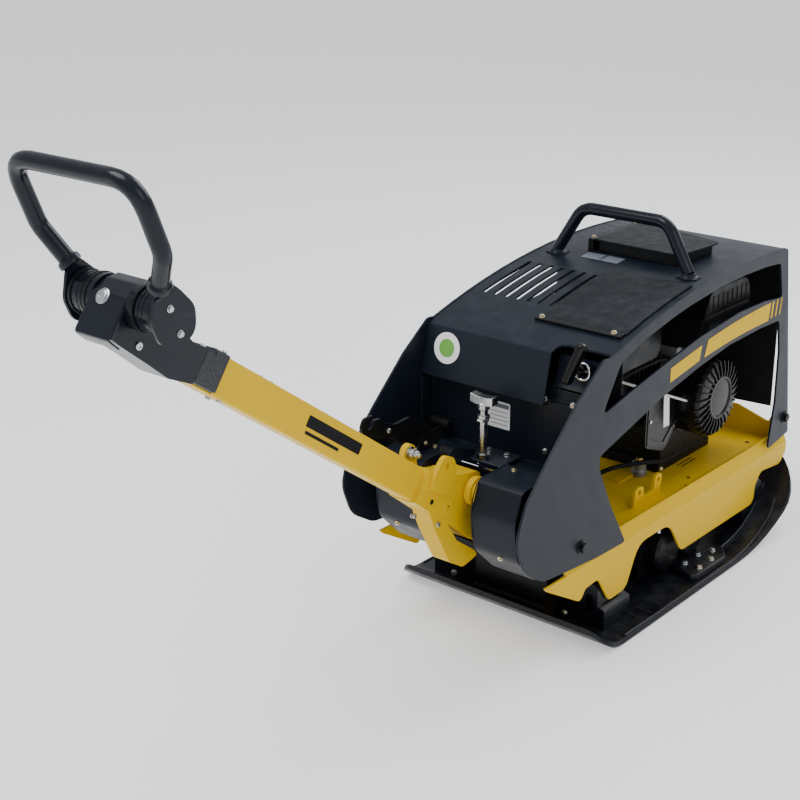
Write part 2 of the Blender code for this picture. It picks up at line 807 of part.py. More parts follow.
def access_cover():
    outline = rounded([(0.076, 0.362, 0.010), (0.190, 0.362, 0.010), (0.190, 0.478, 0.020),
                       (0.076, 0.478, 0.020)], 4)
    return prism("Y", outline, -0.3683, -0.3643)


def starter_recess():
    """Bent panel behind the grip, with a collar whose bore takes the pull cord."""
    line = [Vector((-0.359, 0.508)), Vector((-0.346, 0.522)), Vector((-0.336, 0.566))]
    sheet = bent_sheet("X", line, -0.003, NOTCH_X - 0.004, ROOF_HALF)
    collar = turned("Y", (GRIP_SEAT.x, 0, GRIP_SEAT.z), [(-0.3517, 0.0185), (-0.3350, 0.0185)], 24)
    drill = turned("Y", (GRIP_SEAT.x, 0, GRIP_SEAT.z), [(-0.40, 0.012), (-0.30, 0.012)], 20)
    return cut(union(sheet, collar), drill)


def guide_ring():
    """Round eyelet for the cord, seated on the panel's collar."""
    profile = []
    for step in range(10):
        angle = tau * step / 10
        profile.append((0.003 * cos(angle), 0.0165 + 0.003 * sin(angle)))
    return turned_ring("Y", (GRIP_SEAT.x, GRIP_SEAT.y - 0.006, GRIP_SEAT.z), profile, 24)


def front_panel():
    return prism("Y", rounded([(-ROOF_HALF, 0.275), (ROOF_HALF, 0.292), (ROOF_HALF, 0.630),
                               (-ROOF_HALF, 0.630)], 2), 0.340, 0.343)


def rear_shelf():
    """Sloping shelf between the rear wall and the covers over the drawbar's bearings."""
    line = open_rounded([(-0.3645, 0.3445), (-0.372, 0.3445, 0.004), (-0.405, 0.352, 0.02),
                         (-0.462, 0.352)], 3)
    sheet = bent_sheet("X", line, 0.003, -0.203, 0.203)
    drill = turned("Z", (SPINDLE.x, SPINDLE.y, 0), [(0.33, 0.0110), (0.37, 0.0110)], 20)
    return cut(sheet, drill)


def pole_cover():
    """Rolled guard over one drawbar bearing, closed on its inner side by a cheek."""
    line = open_rounded([(-0.4705, 0.3725), (-0.556, 0.3705, 0.014), (-0.578, 0.310, 0.045),
                         (-0.568, 0.238, 0.040), (-0.505, 0.178, 0.020), (-0.4715, 0.166)], 4)
    rolled = bent_sheet("X", line, -0.003, COVER_INNER, COVER_OUTER)
    cheek = prism("X", offset_line(line, -0.0015), COVER_INNER + 0.0005, COVER_INNER + 0.0035)
    drill = turned("X", (0, POLE_PIVOT.y, POLE_PIVOT.z), [(0.05, 0.0240), (0.08, 0.0240)], 28)
    return cut(union(rolled, cheek), drill)


def pole_bearing():
    """Bearing block: an arm from the frame's rear, with a bore for the pivot tube."""
    outline = rounded([(-0.4660, 0.2230), (-0.4660, 0.3360, 0.006), (-0.4760, 0.3480, 0.012),
                       (-0.510, 0.3640, 0.024), (-0.549, 0.3610, 0.016), (-0.5620, 0.3220, 0.022),
                       (-0.530, 0.2560, 0.020), (-0.500, 0.2230, 0.010)], 4)
    bore = circle(POLE_PIVOT.y, POLE_PIVOT.z, 0.0205, 28)
    return prism("X", outline, 0.084, 0.128, [bore])


def bearing_frame():
    """Black cross wall at the frame's rear with its two bearing arms."""
    outline = rounded([(-0.186, 0.2015), (0.186, 0.2015), (0.186, 0.3482, 0.010),
                       (-0.186, 0.3482, 0.010)], 3)
    return union(prism("Y", outline, -0.470, -0.462), pole_bearing(), flipped(pole_bearing()))


def lifting_bow():
    feet_y, top_y, top_z = 0.012, 0.016, 0.7570
    low = hood_top(feet_y) + 0.0056
    points = [((-LIFT_HALF, feet_y, low), 0), ((-LIFT_HALF + 0.057, top_y, top_z), 0.045),
              ((LIFT_HALF - 0.057, top_y, top_z), 0.045), ((LIFT_HALF, feet_y, low), 0)]
    return tube(rounded_path(points, 6), LIFT_TUBE, 14)


def hood():
    both_sides("hood_side", hood_side, slate())
    node("hood_roof", hood_roof(), slate())
    node("rear_wall", rear_wall(), slate())
    node("access_cover", access_cover(), slate())
    node("starter_recess", starter_recess(), slate())
    node("guide_ring", guide_ring(), chrome())
    node("front_panel", front_panel(), plastic())
    node("rear_shelf", rear_shelf(), slate())
    both_sides("pole_cover", pole_cover, slate())
    node("bearing_frame", bearing_frame(), near_black())
    node("lifting_bow", lifting_bow(), slate())


# ---------------------------------------------------------------- flaps on the bonnet


def rear_flap():
    """Rubber mat on the arched top, its rear edge a round bead on the hinge line."""
    line = [Vector(p) for p in top_line(FLAP_HINGE_Y, -0.030, 8, ROOF_DROP - GAP)]
    sheet = bent_sheet("X", line, 0.004, 0.000, 0.192)
    bead = turned("X", (0, FLAP_HINGE_Y, flap_hinge_z()), [(0.0005, 0.0021), (0.1915, 0.0021)], 12)
    return union(sheet, bead)


def flap_hinge_z():
    """Middle of the mat's thickness where it lies on the roof by its clamp bar."""
    return hood_top(FLAP_HINGE_Y) - ROOF_DROP + GAP + 0.002


def rear_clamp_bar():
    y = -0.280
    z = hood_top(y) - ROOF_DROP + GAP
    shape = box((-0.008, y - 0.0075, 0.0), (0.190, y + 0.0068, 0.006), 0.001)
    lean = Matrix.Translation((0, y, z)) @ Matrix.Rotation(0.245, 4, "X") @ Matrix.Translation((0, -y, 0))
    shape.transform(lean)
    return shape


def top_flap():
    """Lid of the upper service box, hinged along its left edge."""
    outline = rounded([(-0.094, 0.050), (0.116, 0.046, 0.012), (0.128, 0.195, 0.016), (-0.094, 0.245)], 3)
    return prism("Z", outline, 0.6805, 0.6845)


def top_box():
    """Raised frame under the upper lid."""
    outline = rounded([(-0.088, 0.058, 0.006), (0.108, 0.054, 0.010), (0.118, 0.186, 0.010),
                       (-0.088, 0.232, 0.006)], 3)
    inner = rounded([(-0.076, 0.070, 0.006), (0.096, 0.066, 0.010), (0.106, 0.176, 0.010),
                     (-0.076, 0.218, 0.006)], 3)
    return cut(prism("Z", outline, 0.6500, 0.6802, [inner]), below_roof())


def below_roof():
    """Everything under the arched roof, for pieces that stand on it."""
    arch = [Vector(p) for p in top_line(0.0, 0.300, 10, ROOF_DROP - GAP)]
    return prism("X", arch + [Vector((0.300, 0.600)), Vector((0.0, 0.600))], -0.150, 0.150)


def top_clamp_bar():
    return cut(box((-0.108, 0.050, 0.6500), (-0.0955, 0.246, 0.6835), 0.001), below_roof())


def flaps():
    body("rear_flap_hinge", (0.0, FLAP_HINGE_Y, flap_hinge_z()))
    body("top_flap_hinge", (-0.092, 0.150, 0.6825))
    node("rear_clamp_bar", rear_clamp_bar(), plastic())
    node("rear_flap", rear_flap(), rubber(), "rear_flap_hinge")
    node("top_box", top_box(), plastic())
    node("top_clamp_bar", top_clamp_bar(), plastic())
    node("top_flap", top_flap(), rubber(), "top_flap_hinge")


# ---------------------------------------------------------------- engine


def engine_block():
    """Crankcase on its mounting feet, bored through for the crankshaft."""
    case = prism("X", rounded([(0.050, 0.216, 0.012), (0.252, 0.216, 0.012), (0.252, 0.380, 0.040),
                               (0.200, 0.455, 0.030), (0.075, 0.455, 0.030), (0.050, 0.380, 0.030)], 4),
                 -0.098, 0.098)
    foot = box((-0.104, 0.042, DECK_Z + GAP), (0.100, 0.262, 0.219), 0.002)
    drill = turned("X", (0, CRANK.y, CRANK.z), [(-0.2, 0.0150), (0.2, 0.0150)], 24)
    return cut(union(case, foot), drill)


def engine_cylinder():
    """Finned cylinder and head, leaning back from the crankcase."""
    barrel = box((-0.070, -0.055, 0.330), (0.070, 0.0495, 0.470), 0.010, 2)
    fins = [box((-0.084, -0.048 + 0.016 * i, 0.322), (0.084, -0.043 + 0.016 * i, 0.4765), 0.001)
            for i in range(6)]
    head = box((-0.078, -0.085, 0.336), (0.078, -0.052, 0.464), 0.008, 2)
    return union(barrel, head, *fins)


def recoil_cover():
    """Round starter cover: a cup open towards the crankcase, with the reel's post inside."""
    profile = [(0.1285, 0.0037), (0.1705, 0.0037), (0.1705, 0.0560), (0.166, 0.0770),
               (0.157, 0.0845), (0.0985, 0.0845), (0.0985, 0.0880), (0.160, 0.0880),
               (0.172, 0.0800), (0.176, 0.0600), (0.176, 0.0460), (0.1745, 0.0440), (0.1745, 0.0040)]
    return turned("X", (0, CRANK.y, CRANK.z), profile, 36)


def recoil_reel():
    profile = [(0.128, 0.004), (0.128, 0.060), (0.132, 0.060), (0.134, 0.050), (0.142, 0.050),
               (0.144, 0.060), (0.148, 0.060), (0.148, 0.004)]
    return turned_ring("X", (0, CRANK.y, CRANK.z), profile, 28)


def crankshaft():
    """Shaft with the flywheel on its right end and the clutch pulley on its left."""
    profile = [(-0.188, 0.0145), (BELT_X - 0.0112, 0.0145), (BELT_X - 0.0110, 0.050),
               (BELT_X - 0.0080, 0.050), (BELT_X - 0.0030, CLUTCH_GROOVE),
               (BELT_X + 0.0030, CLUTCH_GROOVE), (BELT_X + 0.0080, 0.050), (BELT_X + 0.0110, 0.050),
               (BELT_X + 0.0112, 0.0550), (-0.120, 0.0550), (-0.118, 0.0145), (0.100, 0.0145),
               (0.102, 0.0780), (0.122, 0.0780), (0.124, 0.0145), (0.1275, 0.0145)]
    return turned("X", (0, CRANK.y, CRANK.z), profile, 28)


def fuel_tank():
    body_shape = box((-0.175, 0.020, 0.520), (0.035, 0.290, 0.632), 0.022, 3)
    neck = turned("Z", (TANK_CAP.x, TANK_CAP.y, 0), [(0.60, 0.022), (0.664, 0.022)], 20)
    return union(body_shape, neck)


def fuel_cap():
    profile = [(0.6643, 0.0265), (0.674, 0.0265), (0.677, 0.024), (0.677, 0.0)]
    return turned("Z", (TANK_CAP.x, TANK_CAP.y, 0), profile, 20)


def roof_filler_hole():
    return turned("Z", (TANK_CAP.x, TANK_CAP.y, 0), [(0.60, 0.028), (0.70, 0.028)], 24)


def air_filter():
    lower = box((0.050, 0.060, 0.478), (0.178, 0.270, 0.560), 0.016, 2)
    lid = prism("X", rounded([(0.066, 0.552), (0.264, 0.552), (0.250, 0.608, 0.030),
                              (0.090, 0.608, 0.030)], 5), 0.056, 0.172)
    intake = box((0.056, 0.090, 0.4553), (0.094, 0.180, 0.490), 0.003)
    return union(lower, lid, intake)


def muffler():
    return prism("X", rounded([(-0.205, 0.4768, 0.028), (0.004, 0.4768, 0.028), (0.004, 0.570, 0.028),
                               (-0.150, 0.570, 0.028), (-0.205, 0.545, 0.028)], 4), -0.150, 0.110)


def engine_shroud():
    """Air-guide plate beside the cylinder, held off its first fin by two arms."""
    outline = rounded([(-0.058, 0.292, 0.020), (0.022, 0.262, 0.020), (0.056, 0.300, 0.020),
                       (0.056, 0.436, 0.020), (-0.058, 0.436, 0.020)], 4)
    arms = [box((0.0843, -0.050, z), (0.1190, -0.041, z + 0.014), 0.001) for z in (0.335, 0.405)]
    return union(prism("X", outline, 0.118, 0.122), *arms)


def starter_rope():
    route = rounded_path([((GRIP_SEAT.x, -0.3515, 0.5500), 0), ((0.152, -0.325, 0.537), 0.02),
                          ((0.147, -0.020, 0.4060), 0.05), ((0.145, 0.0625, 0.3698), 0)], 3)
    return tube(route, 0.0026, 8)


def starter_grip():
    """T-shaped pull grip on its hub, in the bonnet's cut-out."""
    hub_base = GRIP_SEAT + Vector((0.0, -0.0105, 0.0050))
    tip = hub_base + GRIP_PULL * 0.030
    hub = tube([hub_base, hub_base + GRIP_PULL * 0.012, tip], 0.0080, 12)
    bar = box((-0.0100, -0.0105, -0.0430), (0.0100, 0.0105, 0.0430), 0.0075, 3)
    lean = Matrix.Rotation(radians(17.5), 4, "Y") @ Matrix.Rotation(radians(-10), 4, "X")
    bar.transform(Matrix.Translation(tip) @ lean)
    return union(hub, bar)


def engine():
    node("engine_block", engine_block(), cast_alloy())
    node("engine_cylinder", engine_cylinder(), cast_alloy())
    node("recoil_cover", recoil_cover(), plastic())
    node("engine_shroud", engine_shroud(), slate())
    node("fuel_tank", fuel_tank(), plastic())
    node("air_filter", air_filter(), plastic())
    node("muffler", muffler(), near_black())
    node("starter_rope", starter_rope(), cord_white())
    node("v_belt", v_belt(), rubber())
    body("crank", CRANK)
    body("reel", CRANK)
    body("cap_turn", (TANK_CAP.x, TANK_CAP.y, 0.6643))
    body("grip_slide", GRIP_SEAT)
    node("crankshaft", crankshaft(), bare_steel(), "crank")
    node("recoil_reel", recoil_reel(), plastic(), "reel")
    node("fuel_cap", fuel_cap(), plastic(), "cap_turn")
    node("starter_grip", starter_grip(), plastic(), "grip_slide")


# ---------------------------------------------------------------- drawbar and head

POLE_ALONG = Vector((0.0, -cos(POLE_SLOPE), sin(POLE_SLOPE)))
POLE_UP = Vector((0.0, sin(POLE_SLOPE), cos(POLE_SLOPE)))


def on_pole(along, height):
    """(y, z) of a point on the drawbar: distance from the pivot, height over its middle."""
    point = POLE_PIVOT + POLE_ALONG * along + POLE_UP * (height - POLE_OFFSET)
    return (point.y, point.z)


def pole_matrix():
    """Frame whose Z runs up the drawbar's axis and whose Y is the drawbar's up side."""
    origin = POLE_PIVOT - POLE_UP * POLE_OFFSET
    across = POLE_UP.cross(POLE_ALONG)
    frame = Matrix((across, POLE_UP, POLE_ALONG)).transposed().to_4x4()
    return Matrix.Translation(origin) @ frame


def section(wide, high, radius):
    return rounded([(-wide / 2, -high / 2, radius), (wide / 2, -high / 2, radius),
                    (wide / 2, high / 2, radius), (-wide / 2, high / 2, radius)], 3)


def drawbar():
    """Rectangular hollow section, with a tongue under the head's neck."""
    wall = 0.004
    beam = prism("Z", section(POLE_WIDE, POLE_HIGH, 0.005), POLE_START, POLE_END,
                 [section(POLE_WIDE - 2 * wall, POLE_HIGH - 2 * wall, 0.003)])
    tongue = box((-0.019, -POLE_HIGH / 2, POLE_END - 0.010),
                 (0.019, -POLE_HIGH / 2 + 0.0038, POLE_END + 0.050), 0.001)
    shape = union(beam, tongue)
    shape.transform(pole_matrix())
    return shape


def yoke_outline():
    high = POLE_HIGH / 2
    top = on_pole(POLE_START - GAP, high)
    low = on_pole(POLE_START - GAP, -high)
    return rounded([(*top, 0.0), (-0.615, 0.3880, 0.020), (-0.560, 0.3740, 0.020), (-0.508, 0.3660, 0.020),
                    (-0.497, 0.300, 0.020), (-0.500, 0.225, 0.012), (-0.523, 0.224, 0.012), (*low, 0.0)], 4)


def drawbar_yoke():
    """Casting that joins the drawbar to its transverse pivot tube."""
    middle = prism("X", yoke_outline(), -0.0315, 0.0315)
    profile = [(-0.1300, 0.0200), (-0.0620, 0.0200), (-0.0620, 0.0232), (-0.0500, 0.0232),
               (-0.0495, 0.0280), (-0.0365, 0.0280), (-0.0360, 0.0232), (0.0360, 0.0232),
               (0.0365, 0.0280), (0.0495, 0.0280), (0.0500, 0.0232), (0.0620, 0.0232),
               (0.0620, 0.0200), (0.1300, 0.0200)]
    pivot = turned("X", (0, POLE_PIVOT.y, POLE_PIVOT.z), profile, 28)
    return union(middle, pivot, yoke_ear(), bolt_boss(), stop_lug())


def yoke_ear():
    """Upright eye on the yoke's right flank, for the transport latch."""
    outline = rounded([(-0.6648, 0.3780, 0.004), (-0.6564, 0.4006, 0.020), (-0.6380, 0.4220, 0.010),
                       (-0.6250, 0.4330, 0.014), (-0.6000, 0.4230, 0.014), (-0.5900, 0.4000, 0.014),
                       (-0.5940, 0.3660, 0.010), (-0.6300, 0.3580, 0.010)], 4)
    return prism("X", outline, 0.0300, 0.0400, [circle(-0.6190, 0.4120, 0.0065, 12)])


def bolt_boss():
    """Round eye on top of the yoke's left flank, for the clamping bolt."""
    eye = prism("X", circle(-0.655, 0.4335, 0.0165, 20), -0.0310, -0.0190)
    web = prism("X", [Vector(p) for p in ((-0.6600, 0.4080), (-0.6300, 0.3900), (-0.6400, 0.4340),
                                          (-0.6660, 0.4340))], -0.0300, -0.0200)
    return union(eye, web)


def stop_lug():
    """Curved lug under the yoke that meets the lower height stop."""
    high = POLE_HIGH / 2
    start = on_pole(0.110, -high + 0.004)
    end = on_pole(0.050, -high + 0.004)
    outline = rounded([(*end, 0.0), (*start, 0.0), (-0.640, 0.285, 0.010), (-0.596, 0.205, 0.030),
                       (-0.555, 0.180, 0.020), (-0.508, 0.190, 0.012), (-0.523, 0.2060, 0.008),
                       (-0.576, 0.244, 0.010)], 4)
    return prism("X", outline, -0.012, 0.030)


def head_casting():
    """Cast neck: a plug inside the drawbar, then a tapering body up to the head."""
    wall = 0.0045
    neck_start = POLE_END + GAP
    plug = prism("Z", section(POLE_WIDE - 2 * wall, POLE_HIGH - 2 * wall, 0.002), POLE_END - 0.060,
                 neck_start + 0.004)
    plug.transform(pole_matrix())
    top = on_pole(neck_start, 0.033)
    low = on_pole(neck_start, -0.0275)
    step_in = on_pole(POLE_END + 0.0520, -0.0275)
    step_out = on_pole(POLE_END + 0.0530, -0.0320)
    outline = rounded([(*top, 0.002), (*low, 0.002), step_in, step_out, (-1.2680, 0.7550, 0.010),
                       (-1.3040, 0.7860, 0.010), (-1.3545, 0.8275, 0.008), (-1.3700, 0.8430, 0.004),
                       (-1.3520, 0.8680, 0.010),
                       (-1.3350, 0.8890, 0.010), (-1.3145, 0.9010, 0.008), (-1.2840, 0.8990, 0.015),
                       (-1.2570, 0.8500, 0.030), (-1.2140, 0.7960, 0.020)], 4)
    casting = prism("X", outline, -0.030, 0.030)
    bore = turned("X", tuple(BOW_PIVOT), [(-0.10, 0.0125), (0.10, 0.0125)], 20)
    return cut(union(plug, casting, head_hub(), flipped(head_hub())), bore)


def head_cover():
    """Bent cover over the head's back and top."""
    line = open_rounded([(-1.2920, 0.9060), (-1.3150, 0.9055, 0.010), (-1.3400, 0.8915, 0.010),
                         (-1.3765, 0.8425, 0.004), (-1.3580, 0.8255)], 2)
    return bent_sheet("X", line, -0.0030, -0.0360, 0.0360)


def head_hub():
    """Round hub between the head and the bow's plate."""
    profile = [(0.0280, 0.0240), (0.0365, 0.0240), (0.0366, 0.0350), (0.0470, 0.0350), (0.0480, 0.0330),
               (0.0885, 0.0330)]
    return turned("X", (0, BOW_PIVOT.y, BOW_PIVOT.z), profile, 24)


def bow_shaft():
    return turned("X", tuple(BOW_PIVOT), [(-0.0930, 0.0120), (0.0930, 0.0120)], 20)


def bow_plate():
    outline = rounded([(-1.3200, 0.9290, 0.008), (-1.2940, 0.9075, 0.030), (-1.2680, 0.8800, 0.030),
                       (-1.2680, 0.8400, 0.030), (-1.3000, 0.8240, 0.025), (-1.3360, 0.8360, 0.025),
                       (-1.3500, 0.8700, 0.030), (-1.3420, 0.9120, 0.015)], 4)
    return prism("X", outline, 0.0900, 0.0955)


def bow_tube():
    end = Vector((0.0930, -1.3300, 0.9190))
    bend = Vector((BOW_HALF, -1.3530, 0.9750))
    top = Vector((BOW_HALF, -1.3940, 1.0800))
    right = [(end, 0), (bend, 0.040), (top, 0.048)]
    left = [(Vector((-p.x, p.y, p.z)), r) for p, r in reversed(right)]
    return tube(rounded_path(right + left, 6), BOW_TUBE, 14)


def steering_bow():
    """The bow's tube welded to its two carrier plates, which share one shaft."""
    return union(bow_tube(), bow_plate(), flipped(bow_plate()), bow_shaft())


def drawbar_group():
    body("pole", POLE_PIVOT)
    body("bow", BOW_PIVOT)
    node("drawbar", drawbar(), yellow(), "pole")
    node("drawbar_yoke", drawbar_yoke(), yellow(), "pole")
    node("head_casting", head_casting(), near_black(), "pole")
    node("head_cover", head_cover(), slate(), "pole")
    node("steering_bow", steering_bow(), slate(), "bow")


# ---------------------------------------------------------------- height adjuster and latch


def spindle_bracket():
    """Plate for the spindle, with a cheek on its left that carries the stop buffer."""
    plate = box((-0.0345, -0.4610, 0.3535), (0.0450, -0.3900, 0.3610), 0.0015)
    cheek = prism("X", rounded([(-0.521, 0.3640, 0.010), (-0.490, 0.3600, 0.010), (-0.458, 0.3550, 0.004),
                                (-0.440, 0.3550), (-0.440, 0.3700, 0.010), (-0.492, 0.3900, 0.010),
                                (-0.519, 0.3920, 0.010)], 4), -0.0355, -0.0325)
    drill = turned("Z", (SPINDLE.x, SPINDLE.y, 0), [(0.34, 0.0095), (0.39, 0.0095)], 20)
    return cut(union(plate, cheek), drill)


def adjusting_spindle():
    """Plated screw with a cross handle at the top and a collar nut below."""
    profile = [(0.3150, 0.0085), (0.3250, 0.0085), (0.3252, 0.0130), (0.3350, 0.0130), (0.3352, 0.0085),
               (0.3612, 0.0085), (0.3614, 0.0125), (0.3680, 0.0125), (0.3682, 0.0085), (0.4380, 0.0085),
               (0.4382, 0.0105), (0.4440, 0.0105), (0.4442, 0.0085), (0.4600, 0.0085),
               (0.4630, 0.0120), (0.4740, 0.0120), (0.4760, 0.0100)]
    screw = turned("Z", (SPINDLE.x, SPINDLE.y, 0), profile, 20)
    bar = turned("X", (SPINDLE.x, SPINDLE.y, 0.4800),
                 [(-0.025, 0.0060), (-0.023, 0.0080), (0.023, 0.0080), (0.025, 0.0060)], 16)
    return union(screw, bar)


def stop_buffer():
    profile = [(-0.0640, 0.0120), (-0.0615, 0.0145), (-0.0400, 0.0145), (-0.0390, 0.0130),
               (-0.0358, 0.0130)]
    return turned("X", (0, -0.5050, 0.3770), profile, 24)


def latch_plate():
    """Transport latch: a hook that swings over to hold the upright drawbar."""
    outline = rounded([
        (-0.660, 0.4880, 0.003), (-0.684, 0.4870, 0.010), (-0.694, 0.4700, 0.014), (-0.684, 0.4500, 0.012),
        (-0.648, 0.4386, 0.012), (-0.610, 0.4270, 0.020), (-0.554, 0.3920, 0.020), (-0.505, 0.3795, 0.010),
        (-0.448, 0.3775, 0.006), (-0.467, 0.4105, 0.010), (-0.524, 0.4379, 0.020), (-0.554, 0.4535, 0.015),
        (-0.595, 0.4504, 0.020), (-0.627, 0.4628, 0.015), (-0.639, 0.4755, 0.006), (-0.656, 0.4760, 0.006),
        (-0.664, 0.4600, 0.006), (-0.675, 0.4640, 0.006), (-0.674, 0.4760, 0.006), (-0.660, 0.4800, 0.002),
    ], 3)
    bore = circle(LATCH_PIVOT.y, LATCH_PIVOT.z, 0.0063, 16)
    return prism("X", outline, -0.110, -0.104, [bore])


def latch_bracket():
    """Upright on the left guard, leaning forward over its edge, with the latch's pin."""
    plate = prism("X", rounded([(-0.535, 0.3745), (-0.476, 0.3759), (-0.458, 0.3880, 0.006),
                                (-0.458, 0.4060, 0.008), (-0.476, 0.4090, 0.010),
                                (-0.530, 0.4000, 0.012)], 4), -0.1035, -0.0985)
    pin = turned("X", (0, LATCH_PIVOT.y, LATCH_PIVOT.z),
                 [(-0.1140, 0.0090), (-0.1105, 0.0090), (-0.1103, 0.0058), (-0.1000, 0.0058)], 16)
    return union(plate, pin)


def controls():
    body("spindle", SPINDLE)
    body("latch", LATCH_PIVOT)
    node("spindle_bracket", spindle_bracket(), slate())
    node("adjusting_spindle", adjusting_spindle(), zinc(), "spindle")
    node("stop_buffer", stop_buffer(), rubber())
    node("latch_bracket", latch_bracket(), near_black())
    node("transport_latch", latch_plate(), near_black(), "latch")


clear_scene()
node("base_plate", base_plate(), near_black())
exciter()
suspension()
node("machine_frame", machine_frame(), yellow())
hood()
flaps()
engine()
drawbar_group()
controls()
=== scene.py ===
"""Looks of the plate compactor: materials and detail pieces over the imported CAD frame."""

from math import atan2, cos, pi, radians, sin, sqrt, tau

import bmesh
import bpy
from mathutils import Matrix, Vector


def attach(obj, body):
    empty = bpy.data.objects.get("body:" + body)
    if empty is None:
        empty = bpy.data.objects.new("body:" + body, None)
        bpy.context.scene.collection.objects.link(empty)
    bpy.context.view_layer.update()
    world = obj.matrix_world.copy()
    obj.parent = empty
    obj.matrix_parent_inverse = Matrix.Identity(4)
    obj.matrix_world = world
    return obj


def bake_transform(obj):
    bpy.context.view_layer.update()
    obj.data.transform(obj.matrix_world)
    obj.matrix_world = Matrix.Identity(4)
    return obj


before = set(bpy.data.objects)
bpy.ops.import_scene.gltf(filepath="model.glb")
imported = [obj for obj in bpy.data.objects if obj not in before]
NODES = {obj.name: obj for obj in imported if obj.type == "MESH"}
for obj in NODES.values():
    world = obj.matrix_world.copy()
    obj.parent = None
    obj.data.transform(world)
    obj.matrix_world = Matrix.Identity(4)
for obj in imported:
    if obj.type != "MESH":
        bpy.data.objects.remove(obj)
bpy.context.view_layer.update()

HOOD_SIDE_X = 0.2095             # outer faces that detail pieces stand on
PLATE_X = 0.0955
PIVOT = Vector((0.0, -0.536, 0.336))
BOW_PIVOT = Vector((0.0, -1.312, 0.876))
CRANK = Vector((0.0, 0.151, 0.360))
SPINDLE = Vector((-0.008, -0.447, 0.361))
POLE_SLOPE = radians(35.4)
POLE_ALONG = Vector((0.0, -cos(POLE_SLOPE), sin(POLE_SLOPE)))
POLE_UP = Vector((0.0, sin(POLE_SLOPE), cos(POLE_SLOPE)))
POLE_MIDDLE = -0.041             # the drawbar's middle line, below the pivot along POLE_UP
ROOF_MIDDLE_Y = 0.190            # the roof is an arc: its highest place, height there and radius
ROOF_TOP_Z = 0.6625
ROOF_RADIUS = 1.95
SUNK = 0.0004                    # how deep a bolt head sits into its face
FILM = 0.0003                    # thickness of labels and printed bars

UP = (0, 0, 1)
RIGHT = (1, 0, 0)
LEFT = (-1, 0, 0)
REAR = (0, -1, 0)
FACING_REAR = Matrix.Rotation(radians(90), 4, "X")


# ---------------------------------------------------------------- node helpers


class Surface:
    """A Principled material with chained helpers for its procedural detail."""

    def __init__(self, name, colour, roughness, metallic=0.0, specular=0.5, ior=1.5):
        self.material = bpy.data.materials.new(name)
        self.material.use_nodes = True
        self.tree = self.material.node_tree
        self.bsdf = self.tree.nodes["Principled BSDF"]
        self.bsdf.inputs["Base Color"].default_value = (*colour, 1.0)
        self.bsdf.inputs["Roughness"].default_value = roughness
        self.bsdf.inputs["Metallic"].default_value = metallic
        self.bsdf.inputs["IOR"].default_value = ior
        self.bsdf.inputs["Specular IOR Level"].default_value = specular
        self.colour = self.constant(colour)
        self.bump = None
        self.place = self.node("ShaderNodeTexCoord").outputs["Object"]

    def node(self, kind, **values):
        made = self.tree.nodes.new(kind)
        for key, value in values.items():
            setattr(made, key, value)
        return made

    def constant(self, colour):
        made = self.node("ShaderNodeRGB")
        made.outputs[0].default_value = (*colour, 1.0)
        return made.outputs[0]

    def link(self, source, target):
        self.tree.links.new(source, target)

    def noise(self, scale, detail=4.0, roughness=0.55, stretch=(1, 1, 1)):
        mapping = self.node("ShaderNodeMapping")
        mapping.inputs["Scale"].default_value = stretch
        self.link(self.place, mapping.inputs["Vector"])
        made = self.node("ShaderNodeTexNoise")
        made.inputs["Scale"].default_value = scale
        made.inputs["Detail"].default_value = detail
        made.inputs["Roughness"].default_value = roughness
        self.link(mapping.outputs[0], made.inputs["Vector"])
        return made.outputs["Fac"]

    def cells(self, scale):
        """Distance to the nearest of scattered cell centres."""
        made = self.node("ShaderNodeTexVoronoi")
        made.inputs["Scale"].default_value = scale
        self.link(self.place, made.inputs["Vector"])
        return made.outputs["Distance"]

    def ramp(self, value, low, high, out_low=0.0, out_high=1.0):
        made = self.node("ShaderNodeMapRange")
        made.inputs["From Min"].default_value = low
        made.inputs["From Max"].default_value = high
        made.inputs["To Min"].default_value = out_low
        made.inputs["To Max"].default_value = out_high
        self.link(value, made.inputs["Value"])
        return made.outputs[0]

    def times(self, first, second):
        made = self.node("ShaderNodeMath", operation="MULTIPLY")
        self.link(first, made.inputs[0])
        if isinstance(second, (int, float)):
            made.inputs[1].default_value = second
        else:
            self.link(second, made.inputs[1])
        return made.outputs[0]

    def tint(self, amount, colour):
        """Mixes another colour over what is there, by a 0 to 1 amount."""
        made = self.node("ShaderNodeMix", data_type="RGBA")
        self.link(amount, made.inputs["Factor"])
        self.link(self.colour, made.inputs["A"])
        made.inputs["B"].default_value = (*colour, 1.0)
        self.colour = made.outputs["Result"]
        return self

    def relief(self, height, strength, distance):
        made = self.node("ShaderNodeBump")
        made.inputs["Strength"].default_value = strength
        made.inputs["Distance"].default_value = distance
        self.link(height, made.inputs["Height"])
        self.bump = made.outputs["Normal"]
        return self

    def gloss(self, value, smooth, rough):
        self.link(self.ramp(value, 0.3, 0.7, smooth, rough), self.bsdf.inputs["Roughness"])
        return self

    def edges(self, low, high):
        """1 on convex edges, 0 on flats."""
        pointiness = self.node("ShaderNodeNewGeometry").outputs["Pointiness"]
        return self.ramp(pointiness, low, high)

    def facing_up(self, low=0.75, high=0.98):
        geometry = self.node("ShaderNodeNewGeometry")
        split = self.node("ShaderNodeSeparateXYZ")
        self.link(geometry.outputs["Normal"], split.inputs[0])
        return self.ramp(split.outputs["Z"], low, high)

    def done(self):
        if self.colour.node.type == "RGB":
            self.tree.nodes.remove(self.colour.node)
        else:
            self.link(self.colour, self.bsdf.inputs["Base Color"])
        if self.bump is not None:
            self.link(self.bump, self.bsdf.inputs["Normal"])
        return self.material


